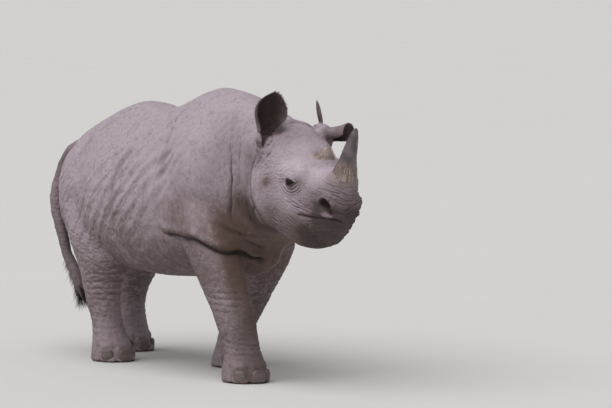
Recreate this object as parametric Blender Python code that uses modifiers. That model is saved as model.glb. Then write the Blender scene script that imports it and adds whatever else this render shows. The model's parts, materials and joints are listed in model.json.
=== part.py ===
"""A young black rhinoceros in a slow walk: a life-size still model that stands on four flat soles.

The animal faces -Y, with +X on its left and +Z up. Lengths are metres. Positions on the body are
given as forward (from under the withers), left (of the midline) and up (from the floor). The head has
a frame of its own, from the crown: along (towards the muzzle), left and up. The flesh is modelled
whole, from lofts and rounded masses fused by a voxel remesh, and is then parted with thin cuts into
head, neck, trunk and legs. Tail, ears, eyes, horns and nails are pieces of their own, seated in
sockets that clear them all round.
"""

import math

import bmesh
import bpy
from mathutils import Matrix, Vector

# --- Driving sizes -----------------------------------------------------------------------------

GAP = 0.0005  # clearance left between neighbouring pieces
EAR_GAP = 0.0015  # clearance round the root of an ear, whose thin rim needs more
RING_POINTS = 28  # points around each lofted section
VOXEL = 0.011  # size of the remesh that fuses the flesh
SMOOTHING_PASSES = 8
FLESH_FACES = 3450  # triangles of the whole flesh before it is parted

CROWN = (0.480, -0.020, 1.023)  # forward, left and up of the top of the head
HEAD_PITCH = 14  # degrees that the crown-to-horn line drops
HEAD_YAW = 5  # degrees that the head turns to the animal's right

EYE_RADIUS = 0.021
EYE_PLACE = (0.280, 0.126, -0.150)  # on the head: along, out from the midline, up

FRONT_HORN_BASE = (0.460, 0.0, -0.066)
FRONT_HORN_HEIGHT = 0.194
FRONT_HORN_RADIUS = 0.040
FRONT_HORN_LEAN = 0.038  # how far the tip stands ahead of the foot
FRONT_HORN_BLUNT = 4.5  # the greater, the blunter the tip
REAR_HORN_BASE = (0.298, 0.0, -0.050)
REAR_HORN_HEIGHT = 0.050
REAR_HORN_RADIUS = 0.050
REAR_HORN_LEAN = 0.014
REAR_HORN_BLUNT = 1.5
HORN_FLARE = 0.014  # how much wider each horn stands at its foot
HORN_SUNK = 0.020  # how far each horn goes down under the skin

EAR_THICKNESS = 0.009
EAR_ROOT = (0.052, 0.133, -0.035)
RIGHT_EAR_AXIS = (0.12, 0.12, 1.0)  # the way each ear stands, and below the way its cup opens
RIGHT_EAR_OPENING = (0.93, -0.30, 0.1)
LEFT_EAR_AXIS = (0.86, 0.42, 0.27)
LEFT_EAR_OPENING = (0.25, -0.35, -0.8)

MOUTH_CORNER = 0.345  # how far along the head the mouth's corners lie
MOUTH_FRONT = (0.535, 0.0, -0.229)  # where the lips meet at the front
MOUTH_SLOPE = 10.5  # degrees that the mouth rises towards the front
MOUTH_GAP = 0.0035
MOUTH_DEPTH = 0.009

NAIL_SIZE = (0.034, 0.014, 0.026)  # half width, half depth and half height of a middle nail
NAIL_LIFT = 0.030  # height of a nail's middle, so its lower edge clears the floor
NAIL_FAN = 52  # degrees between the middle nail and each side nail

LEG_TOP = {"front": 0.640, "hind": 0.660}  # height where each leg is parted from the trunk
LEG_MARGIN = 0.045  # how far the leg's parting surface stands outside its girth
NECK_CUT = (0.290, 0.0, 0.83)  # forward, left and up of a point on the cut
NECK_TILT = -10
HEAD_CUT = (0.452, -0.02, 0.85)
HEAD_TILT = 8

SKIN_COLOUR = (0.31, 0.25, 0.27)
HORN_COLOUR = (0.20, 0.16, 0.17)
NAIL_COLOUR = (0.12, 0.10, 0.10)
EYE_COLOUR = (0.03, 0.018, 0.014)

# --- Sections ----------------------------------------------------------------------------------

# Trunk and neck: forward, top, bottom, half width, left shift of the middle.
TRUNK = (
    (-1.105, 0.800, 0.640, 0.040, 0.0),
    (-1.070, 0.862, 0.540, 0.084, 0.0),
    (-1.000, 0.912, 0.470, 0.132, 0.0),
    (-0.930, 0.947, 0.425, 0.176, 0.0),
    (-0.830, 0.985, 0.400, 0.222, 0.0),
    (-0.680, 1.038, 0.388, 0.268, 0.0),
    (-0.510, 1.078, 0.375, 0.305, 0.0),
    (-0.320, 1.055, 0.368, 0.318, 0.0),
    (-0.150, 1.098, 0.372, 0.310, 0.0),
    (0.000, 1.150, 0.388, 0.285, 0.0),
    (0.130, 1.138, 0.415, 0.258, 0.0),
    (0.260, 1.108, 0.470, 0.222, -0.002),
    (0.370, 1.078, 0.545, 0.190, -0.008),
    (0.470, 1.040, 0.610, 0.160, -0.015),
    (0.540, 1.000, 0.660, 0.120, -0.020),
)

# Head: along, top, bottom, half width.
HEAD = (
    (-0.060, -0.040, -0.200, 0.080),
    (0.000, 0.012, -0.330, 0.135),
    (0.080, 0.014, -0.395, 0.160),
    (0.170, -0.004, -0.420, 0.158),
    (0.250, -0.034, -0.428, 0.140),
    (0.330, -0.060, -0.415, 0.116),
    (0.400, -0.070, -0.388, 0.096),
    (0.450, -0.074, -0.358, 0.084),
    (0.490, -0.092, -0.305, 0.066),
    (0.518, -0.140, -0.262, 0.048),
    (0.532, -0.180, -0.240, 0.028),
)

# Legs: height, half length and half width of the girth, from the body down to the sole.
FRONT_GIRTH = (
    (0.820, 0.150, 0.085),
    (0.650, 0.150, 0.100),
    (0.500, 0.132, 0.092),
    (0.400, 0.118, 0.088),
    (0.300, 0.098, 0.080),
    (0.215, 0.086, 0.076),
    (0.140, 0.074, 0.070),
    (0.080, 0.082, 0.080),
    (0.030, 0.098, 0.093),
    (-0.020, 0.100, 0.095),
)
HIND_GIRTH = (
    (0.840, 0.160, 0.080),
    (0.680, 0.190, 0.105),
    (0.550, 0.192, 0.108),
    (0.430, 0.148, 0.096),
    (0.340, 0.106, 0.080),
    (0.250, 0.082, 0.068),
    (0.160, 0.070, 0.064),
    (0.090, 0.078, 0.074),
    (0.030, 0.095, 0.088),
    (-0.020, 0.097, 0.090),
)

# Each leg's side (+1 left), girth and middle line from the top down: height, forward, out.
LEGS = {
    "leg_front_right": (-1, FRONT_GIRTH, (
        (0.82, 0.05, 0.145), (0.65, 0.11, 0.180), (0.50, 0.195, 0.182), (0.30, 0.300, 0.168),
        (0.14, 0.355, 0.155), (-0.02, 0.385, 0.150),
    )),
    "leg_front_left": (1, FRONT_GIRTH, (
        (0.82, 0.05, 0.140), (0.65, 0.09, 0.172), (0.50, 0.080, 0.172), (0.30, -0.015, 0.150),
        (0.14, -0.095, 0.135), (-0.02, -0.105, 0.130),
    )),
    "leg_hind_right": (-1, HIND_GIRTH, (
        (0.84, -0.76, 0.120), (0.68, -0.71, 0.150), (0.55, -0.650, 0.166), (0.43, -0.625, 0.170),
        (0.25, -0.640, 0.156), (0.12, -0.605, 0.150), (-0.02, -0.570, 0.148),
    )),
    "leg_hind_left": (1, HIND_GIRTH, (
        (0.84, -0.78, 0.125), (0.68, -0.78, 0.155), (0.55, -0.79, 0.165), (0.43, -0.82, 0.165),
        (0.25, -0.905, 0.152), (0.12, -0.895, 0.146), (-0.02, -0.865, 0.144),
    )),
}

# Tail: height, forward, left of its middle, and its radius, from the root to the tuft's tip.
TAIL = (
    (0.868, -1.030, 0.000, 0.036),
    (0.838, -1.098, -0.008, 0.036),
    (0.785, -1.140, -0.022, 0.034),
    (0.715, -1.154, -0.045, 0.031),
    (0.645, -1.152, -0.064, 0.029),
    (0.585, -1.133, -0.072, 0.028),
    (0.500, -1.092, -0.072, 0.026),
    (0.407, -1.058, -0.067, 0.024),
    (0.340, -1.015, -0.058, 0.027),
    (0.275, -0.982, -0.052, 0.024),
    (0.225, -0.962, -0.048, 0.008),
)

# Ear on the right: share of its length, radius of the cup, degrees that the cup wraps round.
EAR_CUP = (
    (0.00, 0.027, 320),
    (0.14, 0.034, 290),
    (0.28, 0.046, 262),
    (0.50, 0.061, 225),
    (0.70, 0.057, 190),
    (0.87, 0.036, 165),
    (1.00, 0.010, 150),
)
EAR_LENGTH = 0.185

# The room the right ear takes up in the head, cup and bulb alike: height above its root, radius.
EAR_SOCKET = (
    (-0.043, 0.010),
    (-0.036, 0.024),
    (-0.025, 0.033),
    (-0.010, 0.0370),
    (0.010, 0.0375),
    (0.026, 0.0425),
    (0.052, 0.0540),
    (0.093, 0.0690),
)

# Ear on the left, torn: a short forward trumpet, with an upright strip left standing.
TORN_CUP = (
    (0.00, 0.026, 340),
    (0.35, 0.026, 320),
    (0.70, 0.032, 280),
    (1.00, 0.043, 235),
)
TORN_LENGTH = 0.130


# --- Frames and small helpers ------------------------------------------------------------------

def on_body(forward, left, up):
    return Vector((left, -forward, up))


def head_frame():
    """From the head's along, left and up to the body's frame."""
    yaw = Matrix.Rotation(math.radians(-HEAD_YAW), 4, "Z")
    pitch = Matrix.Rotation(math.radians(HEAD_PITCH), 4, "X")
    return Matrix.Translation(on_body(*CROWN)) @ yaw @ pitch


def on_head(along, left, up):
    return head_frame() @ on_body(along, left, up)


def collection(name, shown=True):
    made = bpy.data.collections.new(name)
    bpy.context.scene.collection.children.link(made)
    made.hide_render = not shown
    return made


def object_from(bm, name, where):
    mesh = bpy.data.meshes.new(name)
    bm.to_mesh(mesh)
    bm.free()
    obj = bpy.data.objects.new(name, mesh)
    where.objects.link(obj)
    return obj


def finish(name, colour, roughness):
    made = bpy.data.materials.new(name)
    made.use_nodes = True
    shader = made.node_tree.nodes["Principled BSDF"]
    shader.inputs["Base Color"].default_value = (*colour, 1.0)
    shader.inputs["Roughness"].default_value = roughness
    shader.inputs["Metallic"].default_value = 0.0
    return made


def value_between(knots, at):
    """Catmull-Rom value of every further column of knots at a value of their first column."""
    order = sorted(knots)
    at = min(max(at, order[0][0]), order[-1][0])
    i = max(k for k in range(len(order) - 1) if order[k][0] <= at)
    before = order[max(i - 1, 0)]
    start, end = order[i], order[i + 1]
    after = order[min(i + 2, len(order) - 1)]
    span = end[0] - start[0]
    t = (at - start[0]) / span
    found = []
    for c in range(1, len(start)):
        slope_in = (end[c] - before[c]) / (end[0] - before[0]) * span
        slope_out = (after[c] - start[c]) / (after[0] - start[0]) * span
        found.append(
            start[c] * (2 * t**3 - 3 * t**2 + 1) + end[c] * (3 * t**2 - 2 * t**3)
            + slope_in * (t**3 - 2 * t**2 + t) + slope_out * (t**3 - t**2)
        )
    return found


# --- Rings, lofts and masses -------------------------------------------------------------------

def oval(angle, power):
    """A point of the unit superellipse."""
    c, s = math.cos(angle), math.sin(angle)
    return math.copysign(abs(c) ** (2 / power), c), math.copysign(abs(s) ** (2 / power), s)


def upright_ring(forward, top, bottom, half_width, shift=0.0, widest=0.42, upper=1.9, lower=2.3):
    """A section across the body: widest is the share of its height where it is widest."""
    waist = bottom + (top - bottom) * widest
    points = []
    for k in range(RING_POINTS):
        angle = 2 * math.pi * k / RING_POINTS
        across, rise = oval(angle, upper if math.sin(angle) > 0 else lower)
        reach = top - waist if rise > 0 else waist - bottom
        points.append(on_body(forward, shift + half_width * across, waist + reach * rise))
    return points


def level_ring(up, forward, left, half_length, half_width, count=RING_POINTS):
    """A section across a leg."""
    points = []
    for k in range(count):
        across, ahead = oval(2 * math.pi * k / count, 2.15)
        points.append(on_body(forward + half_length * ahead, left + half_width * across, up))
    return points


def loft(name, rings, where):
    """A closed surface through rings of equal point counts, with a flat end at each end."""
    bm = bmesh.new()
    rows = [[bm.verts.new(p) for p in ring] for ring in rings]
    for row, following in zip(rows, rows[1:]):
        for k in range(len(row)):
            n = (k + 1) % len(row)
            bm.faces.new((row[k], row[n], following[n], following[k]))
    bm.faces.new(rows[0])
    bm.faces.new(rows[-1])
    bmesh.ops.recalc_face_normals(bm, faces=bm.faces)
    return object_from(bm, name, where)


def tube(name, stations, sides, where):
    """A round tube along stations of centre and radius, tapered to closed ends."""
    rings = []
    for k, (centre, radius) in enumerate(stations):
        ahead = stations[min(k + 1, len(stations) - 1)][0] - stations[max(k - 1, 0)][0]
        across = ahead.cross(Vector((1, 0, 0))).normalized()
        aside = ahead.cross(across).normalized()
        ring = []
        for n in range(sides):
            angle = 2 * math.pi * n / sides
            ring.append(centre + radius * (math.cos(angle) * across + math.sin(angle) * aside))
        rings.append(ring)
    return loft(name, rings, where)


def mass(name, centre, radii, where, turn=(0, 0, 0), sides=20):
    """An ellipsoid, for a muscle, boss or bulge. Radii run left, forward and up."""
    bm = bmesh.new()
    bmesh.ops.create_uvsphere(bm, u_segments=sides, v_segments=sides * 2 // 3, radius=1.0)
    spin = (
        Matrix.Rotation(math.radians(turn[2]), 4, "Z")
        @ Matrix.Rotation(math.radians(turn[0]), 4, "X")
        @ Matrix.Rotation(math.radians(turn[1]), 4, "Y")
    )
    pose = Matrix.Translation(centre) @ spin @ Matrix.Diagonal((*radii, 1))
    bmesh.ops.transform(bm, matrix=pose, verts=bm.verts)
    return object_from(bm, name, where)


# --- The flesh ---------------------------------------------------------------------------------

def trunk_form(where):
    steps = 40
    first, last = TRUNK[0][0], TRUNK[-1][0]
    rings = []
    for k in range(steps + 1):
        forward = first + (last - first) * k / steps
        rings.append(upright_ring(forward, *value_between(TRUNK, forward)))
    return loft("trunk_form", rings, where)


def head_form(where):
    steps = 26
    first, last = HEAD[0][0], HEAD[-1][0]
    rings = []
    for k in range(steps + 1):
        along = first + (last - first) * k / steps
        top, bottom, half_width = value_between(HEAD, along)
        rings.append(upright_ring(along, top, bottom, half_width, widest=0.5, upper=2.3, lower=2.1))
    form = loft("head_form", rings, where)
    form.data.transform(head_frame())
    return form


def leg_form(name, where, steps=24, count=RING_POINTS, margin=0.0, top=None):
    """A leg's loft. A margin swells it, for the block that parts the leg from the trunk."""
    side, girth, line = LEGS[name]
    top = girth[0][0] if top is None else top
    bottom = girth[-1][0] - margin
    rings = []
    for k in range(steps + 1):
        up = top + (bottom - top) * k / steps
        half_length, half_width = value_between(girth, up)
        forward, out = value_between(line, up)
        rings.append(level_ring(up, forward, side * out, half_length + margin, half_width + margin, count))
    return loft(name + "_form", rings, where)


def leg_block(name, where, clearance=0.0):
    """The coarse block, all triangles, that holds a leg and parts it from the trunk."""
    block = leg_form(name, where, 5, 10, LEG_MARGIN + clearance, LEG_TOP[name.split("_")[1]] + clearance)
    bm = bmesh.new()
    bm.from_mesh(block.data)
    bmesh.ops.triangulate(bm, faces=bm.faces, quad_method="FIXED")
    bm.to_mesh(block.data)
    bm.free()
    return block


def body_masses(where):
    """Muscles and bones that stand out of the lofted trunk."""
    made = [
        mass("withers", on_body(0.02, 0, 1.04), (0.10, 0.20, 0.103), where),
        mass("sacrum", on_body(-0.52, 0, 1.00), (0.07, 0.13, 0.076), where),
        mass("brisket", on_body(0.20, 0, 0.50), (0.13, 0.13, 0.10), where),
    ]
    for side in (-1, 1):
        shoulder = on_body(0.06, side * 0.175, 0.76)
        haunch = on_body(-0.74, side * 0.142, 0.68)
        hip_bone = on_body(-0.58, side * 0.12, 0.945)
        made += [
            mass("shoulder", shoulder, (0.105, 0.19, 0.25), where, (12, 0, 0)),
            mass("haunch", haunch, (0.118, 0.20, 0.24), where, (-8, 0, 0)),
            mass("hip_bone", hip_bone, (0.11, 0.15, 0.055), where, (0, side * 28, 0)),
        ]
    return made


def head_masses(where):
    made = [
        mass("front_boss", on_body(0.452, 0, -0.102), (0.068, 0.062, 0.056), where),
        mass("rear_boss", on_body(0.300, 0, -0.070), (0.062, 0.066, 0.034), where),
        mass("upper_lip", on_body(0.490, 0, -0.215), (0.054, 0.046, 0.060), where, (12, 0, 0)),
        mass("lower_lip", on_body(0.402, 0, -0.316), (0.056, 0.066, 0.044), where, (22, 0, 0)),
        mass("nape", on_body(-0.05, 0, -0.055), (0.095, 0.12, 0.075), where),
    ]
    for side in (-1, 1):
        cheek = on_body(0.100, side * 0.105, -0.240)
        brow = on_body(0.285, side * 0.090, -0.110)
        nostril_wing = on_body(0.470, side * 0.060, -0.182)
        ear_stalk = on_body(0.050, side * 0.112, -0.072)
        made += [
            mass("cheek", cheek, (0.074, 0.130, 0.150), where, (-12, 0, 0)),
            mass("brow", brow, (0.040, 0.060, 0.045), where),
            mass("nostril_wing", nostril_wing, (0.030, 0.038, 0.040), where),
            mass("ear_stalk", ear_stalk, (0.046, 0.050, 0.050), where, (0, side * 30, 0)),
        ]
    for form in made:
        form.data.transform(head_frame())
    return made


def whole_flesh(helpers):
    forms = [trunk_form(helpers), head_form(helpers)]
    forms += [leg_form(name, helpers) for name in LEGS]
    forms += body_masses(helpers) + head_masses(helpers)
    bm = bmesh.new()
    for form in forms:
        bm.from_mesh(form.data)
        bpy.data.objects.remove(form)
    flesh = object_from(bm, "flesh", helpers)
    fuse = flesh.modifiers.new("fuse", "REMESH")
    fuse.mode = "VOXEL"
    fuse.voxel_size = VOXEL
    relax = flesh.modifiers.new("relax", "SMOOTH")
    relax.factor = 0.5
    relax.iterations = SMOOTHING_PASSES
    bake(flesh)
    thin = flesh.modifiers.new("thin", "DECIMATE")
    thin.ratio = FLESH_FACES / triangles(flesh.data)
    bake(flesh)
    return flesh


def triangles(mesh):
    return sum(len(face.vertices) - 2 for face in mesh.polygons)


def bake(obj):
    """Put the result of an object's modifiers in its mesh."""
    graph = bpy.context.evaluated_depsgraph_get()
    result = bpy.data.meshes.new_from_object(obj.evaluated_get(graph), depsgraph=graph)
    obj.modifiers.clear()
    obj.data = result


def combine(obj, tool, operation):
    """Exact Boolean of an object and a tool, put in the object's mesh."""
    cut = obj.modifiers.new(operation.lower(), "BOOLEAN")
    cut.operation = operation
    cut.solver = "EXACT"
    cut.object = tool
    bake(obj)


def copy_of(obj, name, where, swell=0.0):
    """A copy, moved out along its normals by swell."""
    made = bpy.data.objects.new(name, obj.data.copy())
    where.objects.link(made)
    if swell:
        grow = made.modifiers.new("grow", "DISPLACE")
        grow.strength = swell
        grow.mid_level = 0.0
        bake(made)
    return made


# --- Pieces seated in the flesh ----------------------------------------------------------------

def horn(name, base, height, radius, lean, blunt, where):
    """A horn: a curved cone of round sections, from below the skin to a blunt tip."""
    steps = 8
    stations = []
    for k in range(steps + 1):
        t = k / steps
        flare = HORN_FLARE * max(0.0, 1 - 2 * t) ** 1.3
        taper = (1 - 0.50 * t) * math.sqrt(1 - t**blunt) if k < steps else 0.10
        place = (base[0] + lean * t**1.4, 0, base[2] - HORN_SUNK + (height + HORN_SUNK) * t)
        stations.append((on_head(*place), (radius + flare) * taper))
    return tube(name, stations, 12, where)


def ear_shell(name, cup, length, where):
    """A rolled ear along +Z that opens towards -Y, as a solid sheet."""
    across, along = 10, 6
    bm = bmesh.new()
    rows = []
    for j in range(along + 1):
        share = j / along
        radius, wrap = value_between(cup, share)
        row = []
        for i in range(across + 1):
            angle = math.radians(wrap) * (i / across - 0.5)
            row.append(bm.verts.new((radius * math.sin(angle), radius * math.cos(angle), length * share)))
        rows.append(row)
    for row, following in zip(rows, rows[1:]):
        for i in range(across):
            bm.faces.new((row[i], row[i + 1], following[i + 1], following[i]))
    shell = object_from(bm, name, where)
    thicken = shell.modifiers.new("thicken", "SOLIDIFY")
    thicken.thickness = EAR_THICKNESS
    thicken.offset = 0.0
    bake(shell)
    return shell


def set_ear(ear, side, axis, opening):
    """Stand an ear on its root: its length along axis, its cup open towards opening (ahead, left, up)."""
    up = on_body(*axis).normalized()
    back = -(on_body(*opening) - on_body(*opening).dot(up) * up).normalized()
    across = back.cross(up)
    turn = Matrix((across, back, up)).transposed().to_4x4()
    root = Matrix.Translation(on_body(EAR_ROOT[0], side * EAR_ROOT[1], EAR_ROOT[2]))
    ear.data.transform(head_frame() @ root @ turn)


def right_ear(where, helpers):
    """The whole ear, and the room that it takes up in the head."""
    ear = ear_shell("ear_right", EAR_CUP, EAR_LENGTH, where)
    bulb = mass("bulb", Vector((0, 0, -0.010)), (0.034, 0.034, 0.030), helpers, sides=12)
    combine(ear, bulb, "UNION")
    socket = tube("ear_right_socket", [(Vector((0, 0, up)), radius) for up, radius in EAR_SOCKET], 16, helpers)
    for form in (ear, socket):
        set_ear(form, -1, RIGHT_EAR_AXIS, RIGHT_EAR_OPENING)
    return ear, socket


def left_ear(where, helpers):
    ear = ear_shell("ear_left", TORN_CUP, TORN_LENGTH, where)
    set_ear(ear, 1, LEFT_EAR_AXIS, LEFT_EAR_OPENING)
    along, out, up = EAR_ROOT
    strip_place = on_head(along - 0.038, out + 0.002, up + 0.068)
    lobe_place = on_head(along + 0.046, out + 0.012, up - 0.022)
    bulb = mass("bulb", on_head(along, out, up), (0.043, 0.050, 0.045), helpers, sides=12)
    strip = mass("strip", strip_place, (0.012, 0.007, 0.072), helpers, (0, -20, 0), 8)
    lobe = mass("lobe", lobe_place, (0.012, 0.012, 0.034), helpers, sides=8)
    for extra in (bulb, strip, lobe):
        combine(ear, extra, "UNION")
    return ear


def eye(name, side, where):
    along, out, up = EYE_PLACE
    bm = bmesh.new()
    bmesh.ops.create_icosphere(bm, subdivisions=2, radius=EYE_RADIUS)
    bmesh.ops.transform(bm, matrix=Matrix.Translation(on_head(along, side * out, up)), verts=bm.verts)
    return object_from(bm, name, where)


def mouth(head, where):
    """The slot between the lips: a thin plate, less the head's own shape drawn in by the slot's depth."""
    length = MOUTH_FRONT[0] - MOUTH_CORNER + 0.03
    bm = bmesh.new()
    bmesh.ops.create_cube(bm, size=1.0)
    pose = (
        Matrix.Translation(on_body(MOUTH_FRONT[0] + 0.03, 0, MOUTH_FRONT[2]))
        @ Matrix.Rotation(math.radians(-MOUTH_SLOPE), 4, "X")
        @ Matrix.Translation((0, length / 2, 0))
        @ Matrix.Diagonal((0.25, length, MOUTH_GAP, 1))
    )
    bmesh.ops.transform(bm, matrix=head_frame() @ pose, verts=bm.verts)
    slot = object_from(bm, "mouth", where)
    combine(slot, copy_of(head, "mouth_core", where, -MOUTH_DEPTH), "DIFFERENCE")
    return slot


def nostril(side, where):
    """The hollow of a nostril, a slanted comma on the side of the muzzle."""
    place = on_body(0.476, side * 0.086, -0.184)
    hollow = mass("nostril", place, (0.026, 0.033, 0.020), where, (-20, 0, side * 25), 10)
    hollow.data.transform(head_frame())
    return hollow


def nails(leg, where):
    """Three nails round the front of a foot, just clear of the floor."""
    side, girth, line = LEGS[leg]
    half_length, half_width = value_between(girth, NAIL_LIFT)
    forward, out = value_between(line, NAIL_LIFT)
    made = []
    for place, fan in (("outer", side * NAIL_FAN), ("middle", 0), ("inner", -side * NAIL_FAN)):
        size = 1.0 if fan == 0 else 0.88
        bm = bmesh.new()
        bmesh.ops.create_cone(bm, cap_ends=True, segments=10, radius1=1.0, radius2=0.72, depth=2.0)
        bmesh.ops.rotate(bm, cent=(0, 0, 0), matrix=Matrix.Rotation(math.radians(90), 3, "X"), verts=bm.verts)
        angle = math.radians(fan)
        spot = on_body(
            forward + (half_length - NAIL_SIZE[1] / 2) * math.cos(angle),
            side * out + (half_width - NAIL_SIZE[1] / 2) * math.sin(angle),
            NAIL_LIFT,
        )
        shape = Matrix.Diagonal((NAIL_SIZE[0] * size, NAIL_SIZE[1], NAIL_SIZE[2] * size, 1))
        bmesh.ops.transform(
            bm, matrix=Matrix.Translation(spot) @ Matrix.Rotation(angle, 4, "Z") @ shape, verts=bm.verts)
        made.append(object_from(bm, f"nail_{leg[4:]}_{place}", where))
    return made


# --- Parting the flesh -------------------------------------------------------------------------

def plate(name, centre, tilt, turn, where):
    """A thin square plate across the body, for one parting cut."""
    bm = bmesh.new()
    bmesh.ops.create_cube(bm, size=1.0)
    pose = (
        Matrix.Translation(centre)
        @ Matrix.Rotation(math.radians(turn), 4, "Z")
        @ Matrix.Rotation(math.radians(tilt), 4, "X")
        @ Matrix.Diagonal((1.0, GAP, 1.0, 1))
    )
    bmesh.ops.transform(bm, matrix=pose, verts=bm.verts)
    return object_from(bm, name, where)


def islands(mesh):
    """Lists of the vertices of each loose piece of a mesh."""
    bm = bmesh.new()
    bm.from_mesh(mesh)
    left = set(bm.verts)
    found = []
    while left:
        start = left.pop()
        group, edge = {start}, [start]
        while edge:
            vert = edge.pop()
            for link in vert.link_edges:
                other = link.other_vert(vert)
                if other in left:
                    left.discard(other)
                    group.add(other)
                    edge.append(other)
        found.append([v.index for v in group])
    bm.free()
    return found


def only(mesh, keep):
    """A working mesh of only the vertices listed in keep."""
    bm = bmesh.new()
    bm.from_mesh(mesh)
    chosen = set(keep)
    bmesh.ops.delete(bm, geom=[v for v in bm.verts if v.index not in chosen], context="VERTS")
    return bm


def flat_soles(flesh, helpers):
    """Cut the feet off level, on the floor."""
    bm = bmesh.new()
    bmesh.ops.create_cube(bm, size=1.0)
    pose = Matrix.Diagonal((4, 4, 1, 1)) @ Matrix.Translation((0, 0, -0.5))
    bmesh.ops.transform(bm, matrix=pose, verts=bm.verts)
    combine(flesh, object_from(bm, "floor", helpers), "DIFFERENCE")


def centre_on_floor(pieces):
    """Move every piece so that the whole is centred over the origin."""
    corners = [v.co for obj in pieces for v in obj.data.vertices]
    middle_x = (min(c.x for c in corners) + max(c.x for c in corners)) / 2
    middle_y = (min(c.y for c in corners) + max(c.y for c in corners)) / 2
    for obj in pieces:
        obj.data.transform(Matrix.Translation((-middle_x, -middle_y, 0)))


def part_flesh(flesh, parts, helpers):
    """Cut the legs out with swollen copies of their lofts, then slice off the neck and head."""
    made = {}
    for name in LEGS:
        made[name] = copy_of(flesh, name, parts)
        combine(made[name], leg_block(name, helpers), "INTERSECT")
    for name in LEGS:
        combine(flesh, leg_block(name, helpers, GAP), "DIFFERENCE")
    combine(flesh, plate("neck_cut", on_body(*NECK_CUT), NECK_TILT, -2, helpers), "DIFFERENCE")
    combine(flesh, plate("head_cut", on_body(*HEAD_CUT), HEAD_TILT, -HEAD_YAW, helpers), "DIFFERENCE")
    names = ["head", "neck", "trunk"]
    groups = sorted(islands(flesh.data), key=lambda g: min(flesh.data.vertices[i].co.y for i in g))
    for name, group in zip(names, groups, strict=True):
        made[name] = object_from(only(flesh.data, group), name, parts)
    return made


def main():
    for obj in list(bpy.data.objects):
        bpy.data.objects.remove(obj)
    parts = collection("rhinoceros")
    helpers = collection("helpers", shown=False)
    flesh = whole_flesh(helpers)
    flat_soles(flesh, helpers)
    made = part_flesh(flesh, parts, helpers)

    made["tail"] = tube("tail", [(on_body(f, x, z), r) for z, f, x, r in TAIL], 12, parts)
    front_sizes = (FRONT_HORN_BASE, FRONT_HORN_HEIGHT, FRONT_HORN_RADIUS, FRONT_HORN_LEAN, FRONT_HORN_BLUNT)
    rear_sizes = (REAR_HORN_BASE, REAR_HORN_HEIGHT, REAR_HORN_RADIUS, REAR_HORN_LEAN, REAR_HORN_BLUNT)
    made["horn_front"] = horn("horn_front", *front_sizes, parts)
    made["horn_rear"] = horn("horn_rear", *rear_sizes, parts)
    made["ear_right"], ear_socket = right_ear(parts, helpers)
    made["ear_left"] = left_ear(parts, helpers)
    for name, side in (("eye_right", -1), ("eye_left", 1)):
        made[name] = eye(name, side, parts)
    combine(made["head"], mouth(made["head"], helpers), "DIFFERENCE")
    for side in (-1, 1):
        combine(made["head"], nostril(side, helpers), "DIFFERENCE")
    for name in ("horn_front", "horn_rear", "eye_right", "eye_left"):
        combine(made["head"], copy_of(made[name], name + "_socket", helpers, GAP), "DIFFERENCE")
    combine(made["head"], ear_socket, "DIFFERENCE")
    combine(made["head"], copy_of(made["ear_left"], "ear_left_socket", helpers, EAR_GAP), "DIFFERENCE")
    combine(made["trunk"], copy_of(made["tail"], "tail_socket", helpers, GAP), "DIFFERENCE")
    for leg in LEGS:
        for nail in nails(leg, parts):
            made[nail.name] = nail
            combine(made[leg], copy_of(nail, nail.name + "_socket", helpers, GAP), "DIFFERENCE")

    finishes = {
        "skin": finish("skin", SKIN_COLOUR, 0.75),
        "horn": finish("horn", HORN_COLOUR, 0.55),
        "nail": finish("nail", NAIL_COLOUR, 0.50),
        "eye": finish("eye", EYE_COLOUR, 0.08),
    }
    for name, obj in made.items():
        kind = name.split("_")[0]
        obj.data.materials.clear()
        obj.data.materials.append(finishes.get(kind, finishes["skin"]))
        for face in obj.data.polygons:
            face.material_index = 0
    for obj in helpers.objects:
        obj.hide_render = True
        obj.display_type = "WIRE"
    centre_on_floor(made.values())


main()
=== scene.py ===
"""Dresses the young black rhinoceros: one wrinkled hide over the solids of flesh, with horns, nails,
eyes and hair of their own, in a plain studio and from the photograph's viewing angle.

Lengths are metres. Places on the body are forward (from under the withers), left and up (from the
floor). Places on the head are along (from the crown towards the muzzle), left and up.
"""

import json
import math

import bmesh
import bpy
import numpy as np
from mathutils import Matrix, Vector

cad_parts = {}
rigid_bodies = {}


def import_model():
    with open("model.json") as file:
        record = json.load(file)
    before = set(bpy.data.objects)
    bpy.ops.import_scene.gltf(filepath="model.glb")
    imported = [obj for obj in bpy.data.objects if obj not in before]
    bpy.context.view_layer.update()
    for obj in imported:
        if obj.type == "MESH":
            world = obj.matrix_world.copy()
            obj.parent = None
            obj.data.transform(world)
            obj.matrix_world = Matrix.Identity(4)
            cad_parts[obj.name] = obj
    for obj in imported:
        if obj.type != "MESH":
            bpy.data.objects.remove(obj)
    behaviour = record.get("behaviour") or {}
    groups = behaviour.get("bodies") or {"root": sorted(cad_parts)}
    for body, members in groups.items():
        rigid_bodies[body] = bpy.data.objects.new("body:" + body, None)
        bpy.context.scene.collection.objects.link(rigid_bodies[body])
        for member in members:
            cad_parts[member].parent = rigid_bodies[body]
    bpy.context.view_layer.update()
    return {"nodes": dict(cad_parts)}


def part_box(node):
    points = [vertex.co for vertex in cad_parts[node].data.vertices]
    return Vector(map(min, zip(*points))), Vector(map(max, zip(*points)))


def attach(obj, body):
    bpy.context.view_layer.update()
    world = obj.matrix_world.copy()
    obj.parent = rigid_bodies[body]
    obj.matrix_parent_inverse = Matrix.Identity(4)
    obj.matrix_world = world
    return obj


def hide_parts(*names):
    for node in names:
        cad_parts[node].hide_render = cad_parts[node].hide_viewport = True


for old in list(bpy.data.objects):
    bpy.data.objects.remove(old)

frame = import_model()
nodes = frame["nodes"]
rng = np.random.default_rng(7)

# --- Sizes ---

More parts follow.
